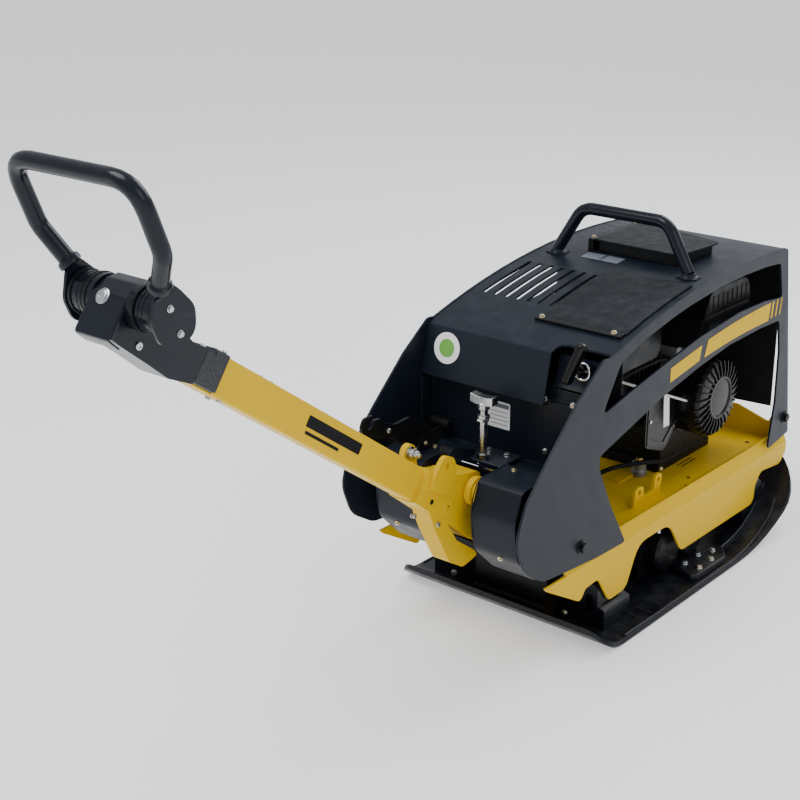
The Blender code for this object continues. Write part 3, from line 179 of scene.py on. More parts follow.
def powder_coat(name, colour, lighter, dust, smooth, rough, grain=0.22, ior=1.27):
    """Sprayed coating: orange-peel relief, faint cloudiness, dust on what faces up, worn edges."""
    made = Surface(name, colour, smooth, ior=ior)
    cloud = made.noise(9.0, 5.0)
    made.tint(made.ramp(cloud, 0.35, 0.75, 0.0, 0.55), lighter)
    settled = made.times(made.facing_up(), made.ramp(made.noise(26.0, 6.0), 0.45, 0.8, 0.0, 0.35))
    made.tint(settled, dust)
    scuffs = made.ramp(made.noise(60.0, 8.0, 0.7, (1.0, 0.15, 1.0)), 0.66, 0.74, 0.0, 0.35)
    made.tint(scuffs, dust)
    made.tint(made.times(made.edges(0.54, 0.66), 0.35), dust)
    made.gloss(made.noise(30.0, 5.0), smooth, rough)
    made.relief(made.noise(850.0, 2.0), grain, 0.00035)
    return made.done()


def yellow_paint():
    made = Surface("signal_yellow_paint", (0.70, 0.435, 0.0), 0.36, ior=1.2)
    made.tint(made.ramp(made.noise(7.0, 4.0), 0.35, 0.75, 0.0, 0.5), (0.64, 0.385, 0.0))
    settled = made.times(made.facing_up(), made.ramp(made.noise(40.0, 7.0), 0.5, 0.85, 0.0, 0.10))
    made.tint(settled, (0.45, 0.32, 0.07))
    specks = made.ramp(made.cells(160.0), 0.035, 0.02)
    made.tint(made.times(specks, 0.35), (0.25, 0.17, 0.05))
    # Lighter, stronger yellow on all convex edges: a painted highlight along the edges.
    made.tint(made.times(made.edges(0.56, 0.72), 0.25), (0.80, 0.55, 0.04))
    made.gloss(made.noise(22.0, 4.0), 0.30, 0.42)
    made.relief(made.noise(520.0, 2.0), 0.10, 0.0003)
    return made.done()


def rubber(name, colour, mottle, rough=0.68):
    made = Surface(name, colour, rough, ior=1.28)
    made.tint(made.ramp(made.noise(34.0, 6.0), 0.42, 0.72), mottle)
    made.tint(made.times(made.facing_up(), made.ramp(made.noise(110.0, 5.0), 0.5, 0.8, 0.0, 0.4)), mottle)
    made.gloss(made.noise(50.0, 4.0), rough - 0.1, rough + 0.1)
    made.relief(made.noise(600.0, 3.0), 0.30, 0.0004)
    return made.done()


def plastic(name, colour, smooth=0.36, rough=0.52):
    made = Surface(name, colour, smooth, ior=1.32)
    dusty = tuple(channel * 1.8 + 0.004 for channel in colour)
    made.tint(made.ramp(made.noise(18.0, 6.0), 0.45, 0.8, 0.0, 0.5), dusty)
    made.tint(made.times(made.edges(0.54, 0.66), 0.4), dusty)
    made.gloss(made.noise(40.0, 4.0), smooth, rough)
    made.relief(made.cells(1400.0), 0.16, 0.0002)
    return made.done()


def plated(name, colour, warm, smooth=0.20, rough=0.36):
    """Zinc plating: cloudy tint and fine brushed relief."""
    made = Surface(name, colour, smooth, metallic=1.0)
    made.tint(made.ramp(made.noise(45.0, 4.0), 0.4, 0.7), warm)
    made.tint(made.times(made.edges(0.55, 0.70), 0.25), (0.8, 0.8, 0.78))
    made.gloss(made.noise(60.0, 3.0), smooth, rough)
    made.relief(made.noise(900.0, 2.0, 0.5, (1.0, 1.0, 0.2)), 0.04, 0.0001)
    return made.done()


def cast(name, colour, dark):
    made = Surface(name, colour, 0.5, metallic=0.75)
    made.tint(made.ramp(made.noise(60.0, 6.0), 0.4, 0.75), dark)
    made.gloss(made.noise(90.0, 4.0), 0.42, 0.62)
    made.relief(made.noise(420.0, 4.0), 0.45, 0.0006)
    return made.done()


def machined(name):
    made = Surface(name, (0.42, 0.42, 0.43), 0.28, metallic=1.0)
    made.tint(made.ramp(made.noise(45.0, 5.0), 0.5, 0.75), (0.30, 0.29, 0.28))
    made.gloss(made.noise(700.0, 2.0, 0.5, (4.0, 0.3, 0.3)), 0.22, 0.40)
    made.relief(made.noise(900.0, 2.0, 0.5, (4.0, 0.2, 0.2)), 0.15, 0.0002)
    return made.done()


def braided():
    made = Surface("braided_cord", (0.74, 0.73, 0.68), 0.85, specular=0.2)
    made.bsdf.inputs["Sheen Weight"].default_value = 0.3
    twist = made.node("ShaderNodeTexWave", wave_type="BANDS", bands_direction="DIAGONAL")
    twist.inputs["Scale"].default_value = 260.0
    made.link(made.place, twist.inputs["Vector"])
    # Darker where the twist bands are low, in the grooves between the strands: painted shade.
    made.tint(made.ramp(twist.outputs["Fac"], 0.0, 0.35, 0.5, 0.0), (0.42, 0.40, 0.35))
    made.tint(made.ramp(made.noise(60.0, 4.0), 0.5, 0.8, 0.0, 0.5), (0.50, 0.48, 0.42))
    made.relief(twist.outputs["Fac"], 0.6, 0.0006)
    return made.done()


def printed(name, colour, rough=0.40):
    """Printed film: plain colour, slightly worn and soiled, with no lettering."""
    made = Surface(name, colour, rough, ior=1.18)
    soiled = (colour[0] * 0.72, colour[1] * 0.72, colour[2] * 0.70)
    made.tint(made.ramp(made.noise(70.0, 6.0), 0.52, 0.8, 0.0, 0.5), soiled)
    made.gloss(made.noise(60.0, 4.0), rough - 0.06, rough + 0.1)
    made.relief(made.noise(500.0, 2.0), 0.06, 0.0002)
    return made.done()


def rough_casting():
    """Blackened sand casting of the drawbar's neck."""
    made = Surface("rough_casting", (0.010, 0.012, 0.016), 0.46)
    made.tint(made.ramp(made.noise(300.0, 4.0), 0.52, 0.7), (0.05, 0.055, 0.065))
    made.relief(made.noise(420.0, 3.0), 0.9, 0.0022)
    return made.done()


SLATE = powder_coat("slate_coat", (0.0072, 0.0108, 0.0185), (0.0100, 0.0145, 0.0240),
                    (0.040, 0.048, 0.060), 0.28, 0.40)
SLATE_TUBE = powder_coat("slate_tube_coat", (0.0042, 0.0068, 0.0120), (0.0065, 0.0098, 0.0165),
                         (0.040, 0.048, 0.060), 0.15, 0.26, 0.10, 1.33)
BASE_COAT = powder_coat("base_coat", (0.0035, 0.0045, 0.0080), (0.0060, 0.0080, 0.0130),
                        (0.085, 0.090, 0.100), 0.22, 0.40, 0.35, 1.34)
BLACK_COAT = powder_coat("black_coat", (0.0035, 0.0040, 0.0055), (0.0060, 0.0068, 0.0090),
                         (0.040, 0.040, 0.042), 0.26, 0.42, 0.30)
YELLOW = yellow_paint()
RUBBER = rubber("buffer_rubber", (0.006, 0.006, 0.007), (0.014, 0.014, 0.015))
MAT = rubber("mat_rubber", (0.0065, 0.0085, 0.0120), (0.0210, 0.0250, 0.0300), 0.58)
PLASTIC = plastic("grained_black_plastic", (0.0040, 0.0043, 0.0052))
GLOSS_PLASTIC = plastic("smooth_black_plastic", (0.0030, 0.0031, 0.0036), 0.16, 0.28)
ZINC = plated("zinc_plating", (0.58, 0.59, 0.58), (0.46, 0.48, 0.50))
GOLD_ZINC = plated("yellow_zinc_plating", (0.70, 0.58, 0.30), (0.60, 0.60, 0.46))
CAST = cast("cast_alloy", (0.30, 0.31, 0.32), (0.16, 0.16, 0.17))
DARK_CAST = cast("dark_cast_alloy", (0.016, 0.017, 0.019), (0.008, 0.009, 0.010))
STEEL = machined("machined_steel")
CHROME = plated("bright_chrome", (0.80, 0.80, 0.82), (0.72, 0.73, 0.76), 0.06, 0.14)
CORD = braided()
ROUGH_CASTING = rough_casting()
WHITE_LABEL = printed("white_label", (0.90, 0.90, 0.89))
YELLOW_LABEL = printed("yellow_label", (0.70, 0.435, 0.0))
GREY_LABEL = printed("grey_label", (0.16, 0.18, 0.21))
BLACK_LABEL = printed("black_label", (0.006, 0.006, 0.007))
GREEN_LABEL = printed("green_label", (0.16, 0.42, 0.08))


# ---------------------------------------------------------------- mesh helpers


def aim(origin, axis, spin=0.0):
    """Frame at origin whose Z points along axis."""
    up = Vector(axis).normalized()
    helper = Vector((0, 0, 1)) if abs(up.z) < 0.9 else Vector((0, 1, 0))
    across = helper.cross(up).normalized()
    turned = Matrix((across, up.cross(across), up)).transposed().to_4x4()
    return Matrix.Translation(Vector(origin)) @ turned @ Matrix.Rotation(spin, 4, "Z")


def lathe(mesh, place, profile, sides=24):
    """Adds a closed solid of revolution to mesh from (height, radius) points."""
    rings = []
    for height, radius in profile:
        ring = []
        for step in range(sides):
            angle = tau * step / sides
            ring.append(mesh.verts.new(place @ Vector((radius * cos(angle), radius * sin(angle), height))))
        rings.append(ring)
    for low, high in zip(rings, rings[1:]):
        for step in range(sides):
            after = (step + 1) % sides
            mesh.faces.new((low[step], low[after], high[after], high[step]))
    mesh.faces.new(list(reversed(rings[0])))
    mesh.faces.new(rings[-1])


def slab(mesh, place, outline, thickness):
    """Adds a flat plate: outline in the place's XY plane, thickness along its Z."""
    low = [mesh.verts.new(place @ Vector((u, v, 0.0))) for u, v in outline]
    high = [mesh.verts.new(place @ Vector((u, v, thickness))) for u, v in outline]
    count = len(outline)
    mesh.faces.new(list(reversed(low)))
    mesh.faces.new(high)
    for step in range(count):
        after = (step + 1) % count
        mesh.faces.new((low[step], low[after], high[after], high[step]))


def pipe(mesh, points, radius, sides=10):
    """Adds a round rod through the points, mitred where it bends."""
    points = [Vector(p) for p in points]
    rings = []
    across = None
    for index, point in enumerate(points):
        before = points[max(index - 1, 0)]
        after = points[min(index + 1, len(points) - 1)]
        along = (after - before).normalized()
        if across is None:
            helper = Vector((0, 0, 1)) if abs(along.z) < 0.9 else Vector((1, 0, 0))
            across = helper.cross(along).normalized()
        across = (across - along * across.dot(along)).normalized()
        other = along.cross(across)
        ring = []
        for step in range(sides):
            angle = tau * step / sides
            ring.append(mesh.verts.new(point + (across * cos(angle) + other * sin(angle)) * radius))
        rings.append(ring)
    for low, high in zip(rings, rings[1:]):
        for step in range(sides):
            after = (step + 1) % sides
            mesh.faces.new((low[step], low[after], high[after], high[step]))
    mesh.faces.new(list(reversed(rings[0])))
    mesh.faces.new(rings[-1])


def bent(points, radius, steps=5):
    """Path through the points with its inner corners rounded."""
    points = [Vector(p) for p in points]
    path = [points[0]]
    for before, here, after in zip(points, points[1:], points[2:]):
        start = here + (before - here).normalized() * radius
        end = here + (after - here).normalized() * radius
        for step in range(steps + 1):
            t = step / steps
            path.append(start.lerp(here, t).lerp(here.lerp(end, t), t))
    path.append(points[-1])
    return path


def rounded_rectangle(wide, high, radius, steps=4):
    """Outline about the origin, with quarter circles for corners."""
    points = []
    for u, v, start in ((1, 1, 0), (-1, 1, 90), (-1, -1, 180), (1, -1, 270)):
        for step in range(steps + 1):
            angle = radians(start + 90 * step / steps)
            points.append((u * (wide / 2 - radius) + radius * cos(angle),
                           v * (high / 2 - radius) + radius * sin(angle)))
    return points


def rounded_rectangle_at(x, y, wide, high):
    return [(x + u, y + v) for u, v in rounded_rectangle(wide, high, min(wide, high) * 0.3, 3)]


def disc(radius, sides):
    return [(radius * cos(tau * step / sides), radius * sin(tau * step / sides)) for step in range(sides)]


def ring_about_x(x, y, z, radius, count, start=0.0):
    """Evenly spaced points on a circle round an axis along X."""
    angles = [start + tau * index / count for index in range(count)]
    return [Vector((x, y + radius * cos(angle), z + radius * sin(angle))) for angle in angles]


def pole_point(along, rise, x=0.0):
    """Point along the drawbar from its pivot, rise above the pivot's line, x to the right."""
    spot = PIVOT + POLE_ALONG * along + POLE_UP * rise
    return Vector((x, spot.y, spot.z))


def hex_bolt(mesh, origin, axis, size, spin=0.0):
    """Hexagon head of nominal thread size, chamfered, on a washer."""
    place = aim(origin, axis, spin)
    rise = size * 0.18
    lathe(mesh, place, [(-SUNK, size * 1.15), (rise * 0.8, size * 1.15), (rise, size * 1.08)], 24)
    head = size * 0.95
    lathe(mesh, place, [(rise - 0.0002, head), (rise + size * 0.52, head),
                        (rise + size * 0.64, head * 0.84), (rise + size * 0.64, head * 0.40)], 6)


def socket_bolt(mesh, origin, axis, radius, height):
    """Cap head with a sunk key socket."""
    lathe(mesh, aim(origin, axis), [
        (-SUNK, radius), (height * 0.85, radius), (height, radius * 0.90), (height, radius * 0.52),
        (height * 0.45, radius * 0.46), (height * 0.45, radius * 0.10)], 18)


def piece(name, mesh, material, carrier, bevel=0.0, angle=35.0):
    """Turns a bmesh in the row frame into a piece; it rides on the carrier if one is named."""
    bmesh.ops.recalc_face_normals(mesh, faces=mesh.faces)
    data = bpy.data.meshes.new(name)
    mesh.to_mesh(data)
    mesh.free()
    data.shade_smooth()
    data.set_sharp_from_angle(angle=radians(angle))
    data.materials.append(material)
    made = bpy.data.objects.new(name, data)
    bpy.context.scene.collection.objects.link(made)
    if bevel:
        edge = made.modifiers.new("edge", "BEVEL")
        edge.width = bevel
        edge.segments = 2
        edge.limit_method = "ANGLE"
        edge.angle_limit = radians(40)
    if carrier is not None:
        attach(made, carrier)
    return made


# ---------------------------------------------------------------- camera, floor, lights


def camera():
    """Camera at the photograph's viewing angle."""
    right = Vector((0.76875, 0.63955, 0.0))
    up = Vector((-0.22184, 0.26666, 0.93791))
    back = Vector((0.59984, -0.72102, 0.34688))
    data = bpy.data.cameras.new("camera")
    data.sensor_width = 36.0
    data.lens = 70.0
    data.clip_end = 50.0
    made = bpy.data.objects.new("camera", data)
    made.matrix_world = Matrix.Translation((1.6480, -2.6876, 1.5089)) @ Matrix(
        (right, up, back)).transposed().to_4x4()
    bpy.context.scene.collection.objects.link(made)
    bpy.context.scene.camera = made


def floor():
    """Wide pale floor just under the sole."""
    mesh = bmesh.new()
    corners = [(-60, -60), (60, -60), (60, 60), (-60, 60)]
    slab(mesh, Matrix.Translation((0, 0, -0.02)), corners, 0.0199)
    data = bpy.data.meshes.new("floor")
    mesh.to_mesh(data)
    mesh.free()
    made = bpy.data.objects.new("floor", data)
    bpy.context.scene.collection.objects.link(made)
    finish = Surface("floor_finish", (0.86, 0.86, 0.86), 0.75, specular=0.2)
    finish.gloss(finish.noise(3.0, 3.0), 0.7, 0.85)
    finish.bsdf.inputs["Emission Color"].default_value = (1.0, 1.0, 1.0, 1.0)
    finish.bsdf.inputs["Emission Strength"].default_value = 0.50
    data.materials.append(finish.done())


def area_light(name, location, target, size, power, colour=(1, 1, 1)):
    data = bpy.data.lights.new(name, "AREA")
    data.shape = "DISK"
    data.size = size
    data.energy = power
    data.color = colour
    made = bpy.data.objects.new(name, data)
    made.matrix_world = aim(location, Vector(location) - Vector(target))
    bpy.context.scene.collection.objects.link(made)


def lighting():
    world = bpy.data.worlds.new("studio")
    bpy.context.scene.world = world
    world.use_nodes = True
    background = world.node_tree.nodes["Background"]
    background.inputs["Color"].default_value = (0.93, 0.96, 1.0, 1.0)
    background.inputs["Strength"].default_value = 0.70
    middle = (0.0, -0.3, 0.4)
    area_light("key", (-1.0, -2.4, 4.2), middle, 2.6, 105)
    area_light("side", (3.6, -1.6, 2.6), middle, 2.2, 26)
    area_light("sky", (0.3, 3.0, 3.4), middle, 3.2, 110, (0.92, 0.96, 1.0))


# ---------------------------------------------------------------- CAD nodes' finishes

NODE_FINISH = {
    BASE_COAT: ["base_plate"],
    BLACK_COAT: ["exciter_housing", "exciter_cap_right", "exciter_cap_left", "rear_crossmember",
                 "bearing_frame", "muffler", "latch_bracket", "transport_latch"],
    RUBBER: ["rear_buffer_right", "rear_buffer_left", "front_buffer_right", "front_buffer_left",
             "v_belt", "stop_buffer"],
    MAT: ["rear_flap", "top_flap"],
    YELLOW: ["machine_frame", "drawbar", "drawbar_yoke"],
    SLATE: ["hood_side_right", "hood_side_left", "hood_roof", "rear_wall", "access_cover",
            "starter_recess", "rear_shelf", "pole_cover_right", "pole_cover_left", "spindle_bracket"],
    SLATE_TUBE: ["lifting_bow", "steering_bow", "head_cover", "head_casting"],
    PLASTIC: ["front_panel", "rear_clamp_bar", "top_box", "top_clamp_bar", "fuel_tank", "air_filter",
              "fuel_cap", "recoil_reel"],
    GLOSS_PLASTIC: ["recoil_cover", "starter_grip", "engine_shroud"],
    DARK_CAST: ["engine_block", "engine_cylinder"],
    STEEL: ["crankshaft", "front_eccentric_shaft", "rear_eccentric_shaft"],
    CHROME: ["guide_ring"],
    ZINC: ["adjusting_spindle"],
    CORD: ["starter_rope"],
}


ROUNDING = {CAST: 0.0016, DARK_CAST: 0.0016, RUBBER: 0.0015, MAT: 0.0012, PLASTIC: 0.0014,
            GLOSS_PLASTIC: 0.0012, BASE_COAT: 0.0016}
SHARP_NODES = ("starter_rope", "guide_ring")
SHEET_ROUNDING = 0.0009


def round_edges(node, width):
    """Softens a CAD node's edges and shades its curved faces smooth, with modifiers only."""
    custom = node.data.attributes.get("custom_normal")
    if custom is not None:
        node.data.attributes.remove(custom)
    node.data.shade_smooth()
    weld = node.modifiers.new("weld", "WELD")
    weld.merge_threshold = 0.00002
    flat = node.modifiers.new("flat", "DECIMATE")
    flat.decimate_type = "DISSOLVE"
    flat.angle_limit = radians(1.0)
    if width:
        edge = node.modifiers.new("edge", "BEVEL")
        edge.width = width
        edge.segments = 2
        edge.limit_method = "ANGLE"
        edge.angle_limit = radians(42)
    normals = node.modifiers.new("normals", "WEIGHTED_NORMAL")
    normals.weight = 60


def dress_nodes():
    """Gives each CAD node its material and softened edges."""
    for material, names in NODE_FINISH.items():
        for name in names:
            node = NODES[name]
            node.data.materials.clear()
            node.data.materials.append(material)
            round_edges(node, 0.0 if name in SHARP_NODES else ROUNDING.get(material, SHEET_ROUNDING))


# ---------------------------------------------------------------- head and steering bow


def head_details():
    """Plugs and cover ribs of the head, hub collars, and the neck that grips the drawbar."""
    mesh = bmesh.new()
    back = Vector((0.0, -0.80, 0.60))
    plug = Vector((-0.010, -1.3447, 0.8902))
    lathe(mesh, aim(plug, back), [(-SUNK, 0.0125), (0.0012, 0.0125), (0.0016, 0.0118)], 28)
    socket_bolt(mesh, plug + back * 0.0014, back, 0.0098, 0.0032)
    for side in (1, -1):
        socket_bolt(mesh, (side * 0.0300, -1.3198, 0.8186), (side, 0, 0), 0.0062, 0.0026)
    piece("head_plugs", mesh, ZINC, "drawbar_body", 0.0003)

    mesh = bmesh.new()
    for side in (1, -1):
        edge = [(side * 0.0335, -1.2950, 0.9045), (side * 0.0335, -1.3150, 0.9040),
                (side * 0.0335, -1.3390, 0.8900), (side * 0.0335, -1.3745, 0.8425)]
        pipe(mesh, bent(edge, 0.010, 4), 0.0042, 10)
    piece("head_cover_ribs", mesh, SLATE_TUBE, "drawbar_body")

    mesh = bmesh.new()
    for side in (1, -1):
        place = aim((0.0, BOW_PIVOT.y, BOW_PIVOT.z), (side, 0, 0))
        for low, high, radius in ((0.0480, 0.0530, 0.0362), (0.0600, 0.0622, 0.0340),
                                  (0.0685, 0.0700, 0.0338), (0.0820, 0.0882, 0.0352)):
            lathe(mesh, place, [(low, 0.030), (low, radius - 0.0008), (low + 0.0008, radius),
                                (high - 0.0008, radius), (high, radius - 0.0008), (high, 0.030)], 32)
    piece("hub_collars", mesh, BLACK_COAT, "drawbar_body")

    mesh = bmesh.new()
    pole_frame = aim(pole_point(0.7385, POLE_MIDDLE), POLE_ALONG)
    across = pole_frame.to_3x3().inverted() @ Vector((1, 0, 0))
    turn = atan2(across.y, across.x)
    socket = pole_frame @ Matrix.Rotation(turn, 4, "Z")
    slab(mesh, socket @ Matrix.Translation((0, 0.0025, 0)), rounded_rectangle(0.0622, 0.0625, 0.006), 0.030)
    lower = socket @ Matrix.Translation((0, -0.0010, 0.026))
    slab(mesh, lower, rounded_rectangle(0.0618, 0.0560, 0.006), 0.024)
    piece("neck_socket", mesh, ROUGH_CASTING, "drawbar_body", 0.0012)

    mesh = bmesh.new()
    for along, x, rise in ((0.748, 0.024, -0.0068), (0.793, 0.0225, -0.0142)):
        for side in (1, -1):
            hex_bolt(mesh, pole_point(along, rise, side * x), POLE_UP, 0.0042)
    for along, rise in ((0.705, -0.0731), (0.778, -0.0690)):
        for side in (1, -1):
            hex_bolt(mesh, pole_point(along, rise, side * 0.012), -POLE_UP, 0.0048)
    piece("neck_bolts", mesh, ZINC, "drawbar_body", 0.0002)


def bow_details():
    """Bolts of the steering bow's plates and the welds at the tube's feet."""
    mesh = bmesh.new()
    for side in (1, -1):
        for y, z in ((-1.3155, 0.8849), (-1.2987, 0.8447)):
            hex_bolt(mesh, (side * PLATE_X, y, z), (side, 0, 0), 0.0050)
    piece("bow_plate_bolts", mesh, ZINC, "steering_bow_body", 0.0003)

    mesh = bmesh.new()
    along = Vector((0.0375, -0.0230, 0.0560)).normalized()
    for side in (1, -1):
        foot = Vector((side * 0.0930, -1.3300, 0.9190))
        lean = Vector((side * along.x, along.y, along.z))
        weld = [(-0.004, 0.0130), (-0.002, 0.0178), (0.004, 0.0182), (0.008, 0.0168), (0.010, 0.0137),
                (0.012, 0.0130)]
        lathe(mesh, aim(foot + lean * 0.002, lean), weld, 28)
        pipe(mesh, [(side * 0.0958, -1.3420, 0.9010), (side * 0.0972, -1.3330, 0.9055),
                    (side * 0.0958, -1.3240, 0.9110)], 0.0022, 8)
    piece("bow_foot_welds", mesh, SLATE_TUBE, "steering_bow_body")


# ---------------------------------------------------------------- drawbar and yoke


def drawbar_details():
    """Weld and screws of the drawbar, plain bars for its lettering, and the yoke's eye bolt."""
    mesh = bmesh.new()
    half_x, half_up = 0.0228, 0.0322
    corners = [(half_x, half_up), (-half_x, half_up), (-half_x, -half_up), (half_x, -half_up)]
    loop = []
    for first, second in zip(corners, corners[1:] + corners[:1]):
        for step in range(9):
            t = step / 9
            wobble = 0.0006 * sin(step * 2.3 + first[0] * 400)
            x = first[0] + (second[0] - first[0]) * t
            rise = first[1] + (second[1] - first[1]) * t
            loop.append(pole_point(0.1495 + wobble, POLE_MIDDLE + rise, x))
    pipe(mesh, loop + [loop[0]], 0.0021, 8)
    piece("drawbar_weld", mesh, YELLOW, "drawbar_body")

    mesh = bmesh.new()
    for along in (0.640, 0.612):
        socket_bolt(mesh, pole_point(along, POLE_MIDDLE + 0.0320, 0.0135), POLE_UP, 0.0034, 0.0016)
    hex_bolt(mesh, (0.0300, -0.6334, 0.2971), RIGHT, 0.0046)
    hex_bolt(mesh, (0.0226, -0.6935, 0.3335), RIGHT, 0.0042)
    hex_bolt(mesh, (-0.0300, -0.6334, 0.2971), LEFT, 0.0046)
    piece("drawbar_screws", mesh, ZINC, "drawbar_body", 0.0002)

    turned = Matrix((-POLE_ALONG, POLE_UP, (1, 0, 0))).transposed().to_4x4()
    mesh = bmesh.new()
    for side in (1, -1):
        for along, high, long, tall in ((0.426, 0.006, 0.158, 0.0200), (0.452, -0.013, 0.098, 0.0055)):
            spot = pole_point(along, POLE_MIDDLE + high, 0.0226 if side > 0 else -0.0229)
            slab(mesh, Matrix.Translation(spot) @ turned, rounded_rectangle(long, tall, 0.002), FILM)
    piece("drawbar_bars", mesh, BLACK_LABEL, "drawbar_body")

    mesh = bmesh.new()
    eye = Vector((-0.0190, -0.655, 0.4335))
    place = aim(eye, RIGHT)
    lathe(mesh, place, [(-0.0003, 0.0130), (0.0018, 0.0130), (0.0020, 0.0122)], 28)
    lathe(mesh, place, [(0.0019, 0.0085), (0.0105, 0.0085), (0.0110, 0.0078)], 24)
    lathe(mesh, place, [(0.0109, 0.0112), (0.0124, 0.0112), (0.0126, 0.0104)], 28)
    lathe(mesh, place, [(0.0125, 0.0068), (0.0128, 0.0080), (0.0182, 0.0080), (0.0190, 0.0070)], 6)
    lathe(mesh, place, [(0.0188, 0.0044), (0.0230, 0.0044), (0.0238, 0.0034)], 16)
    piece("yoke_eye_bolt", mesh, ZINC, "drawbar_body", 0.0002)

    mesh = bmesh.new()
    for side in (1, -1):
        dimple = aim((side * 0.0298, -0.6040, 0.3240), (side, 0, 0))
        lathe(mesh, dimple, [(-0.001, 0.0170), (0.0008, 0.0165), (0.0026, 0.0150), (0.0034, 0.0120),
                             (0.0030, 0.0070), (0.0022, 0.0030)], 32)
    piece("yoke_bosses", mesh, YELLOW, "drawbar_body")

    # Black plug in the boss's dimple and black disc on the flank stand for holes: painted shade.
    mesh = bmesh.new()
    lathe(mesh, aim((0.0306, -0.6040, 0.3240), RIGHT), [(0.0016, 0.0016), (0.0026, 0.0016)], 14)
    lathe(mesh, aim((0.0299, -0.6537, 0.3497), RIGHT), [(-0.001, 0.0052), (0.0018, 0.0052)], 20)
    piece("painted_yoke_hole_shade", mesh, BLACK_COAT, "drawbar_body")


# ---------------------------------------------------------------- height adjuster, latch, guards


def spindle_details():
    """Nuts and wing of the height adjuster, and its bracket's bolts."""
    mesh = bmesh.new()
    place = aim((SPINDLE.x, SPINDLE.y, 0.0), UP)
    lathe(mesh, place, [(0.3682, 0.0100), (0.3690, 0.0135), (0.3712, 0.0135), (0.3718, 0.0100)], 24)
    for low in (0.4382, 0.4445):
        lathe(mesh, place, [(low, 0.0118), (low + 0.0006, 0.0126), (low + 0.0046, 0.0126),
                            (low + 0.0052, 0.0118)], 6 if low < 0.44 else 24)
    piece("spindle_nuts", mesh, ZINC, "spindle")

    mesh = bmesh.new()
    outline = []
    for step in range(13):
        t = -1 + 2 * step / 12
        outline.append((t * 0.0262, 0.0118 - 0.0034 * (1 - t * t)))
    for step in range(13):
        t = 1 - 2 * step / 12
        outline.append((t * 0.0262, -0.0050 - 0.0036 * (1 - t * t)))
    handle = Matrix.Translation((SPINDLE.x, SPINDLE.y, 0.4800)) @ FACING_REAR
    slab(mesh, handle @ Matrix.Translation((0, 0, -0.0095)), outline, 0.0190)
    piece("spindle_wing", mesh, ZINC, "spindle", 0.0008)

    mesh = bmesh.new()
    for x in (-0.0230, 0.0230):
        hex_bolt(mesh, (x, -0.4100, 0.3612), UP, 0.0068)
    piece("bracket_bolts", mesh, ZINC, "machine", 0.0003)


def guard_details():
    """Screws and rolled lips of the two guards, and the bumper on the rear wall."""
    mesh = bmesh.new()
    for side in (1, -1):
        hex_bolt(mesh, (side * 0.0951, -0.4867, 0.3752), UP, 0.0055)
        hex_bolt(mesh, (side * 0.1239, -0.5646, 0.2311), (0, -0.75, -0.67), 0.0052)
    hex_bolt(mesh, (-0.0984, -0.5097, 0.3873), RIGHT, 0.0048)
    piece("guard_screws", mesh, GOLD_ZINC, "machine", 0.0003)

    mesh = bmesh.new()
    for side in (1, -1):
        for x in (0.0664, 0.1656):
            pipe(mesh, [(side * x, -0.4760, 0.3757), (side * x, -0.5480, 0.3740), (side * x, -0.5640, 0.3660),
                        (side * x, -0.5765, 0.3400), (side * x, -0.5800, 0.3080), (side * x, -0.5765, 0.2700),
                        (side * x, -0.5690, 0.2400)], 0.0011, 8)
    piece("guard_lips", mesh, SLATE, "machine")

    mesh = bmesh.new()
    place = aim((-0.1900, -0.3800, 0.3790), (1, 0, -0.08))
    lathe(mesh, place, [(0.0, 0.0085), (0.004, 0.0105), (0.020, 0.0105), (0.0205, 0.0090), (0.030, 0.0090),
                        (0.0305, 0.0105), (0.046, 0.0105), (0.048, 0.0085)], 24)
    piece("wall_bumper", mesh, RUBBER, "machine")


def latch_details():
    mesh = bmesh.new()
    hex_bolt(mesh, (-0.1038, -0.6150, 0.4440), RIGHT, 0.0044)
    piece("latch_screw", mesh, ZINC, "latch", 0.0002)


# ---------------------------------------------------------------- hood


def hood_top(y):
    """Height of the roof sheet's outer face at y."""
    return ROOF_TOP_Z - ROOF_RADIUS + sqrt(ROOF_RADIUS ** 2 - (y - ROOF_MIDDLE_Y) ** 2)


def roof_normal(y):
    lean = (y - ROOF_MIDDLE_Y) / ROOF_RADIUS
    return Vector((0.0, lean, sqrt(1 - lean ** 2)))


def label(name, place, outline, material, lift=0.0002):
    """Thin printed film on a face: the place's Z is the face's normal."""
    mesh = bmesh.new()
    slab(mesh, place @ Matrix.Translation((0, 0, lift)), outline, FILM)
    piece(name, mesh, material, "machine")


def side_place(x, side):
    """Frame on a hood side: local X is +Y, local Y is +Z."""
    turned = Matrix(((0, 1, 0), UP, (side, 0, 0))).transposed().to_4x4()
    return Matrix.Translation((side * x, 0, 0)) @ turned


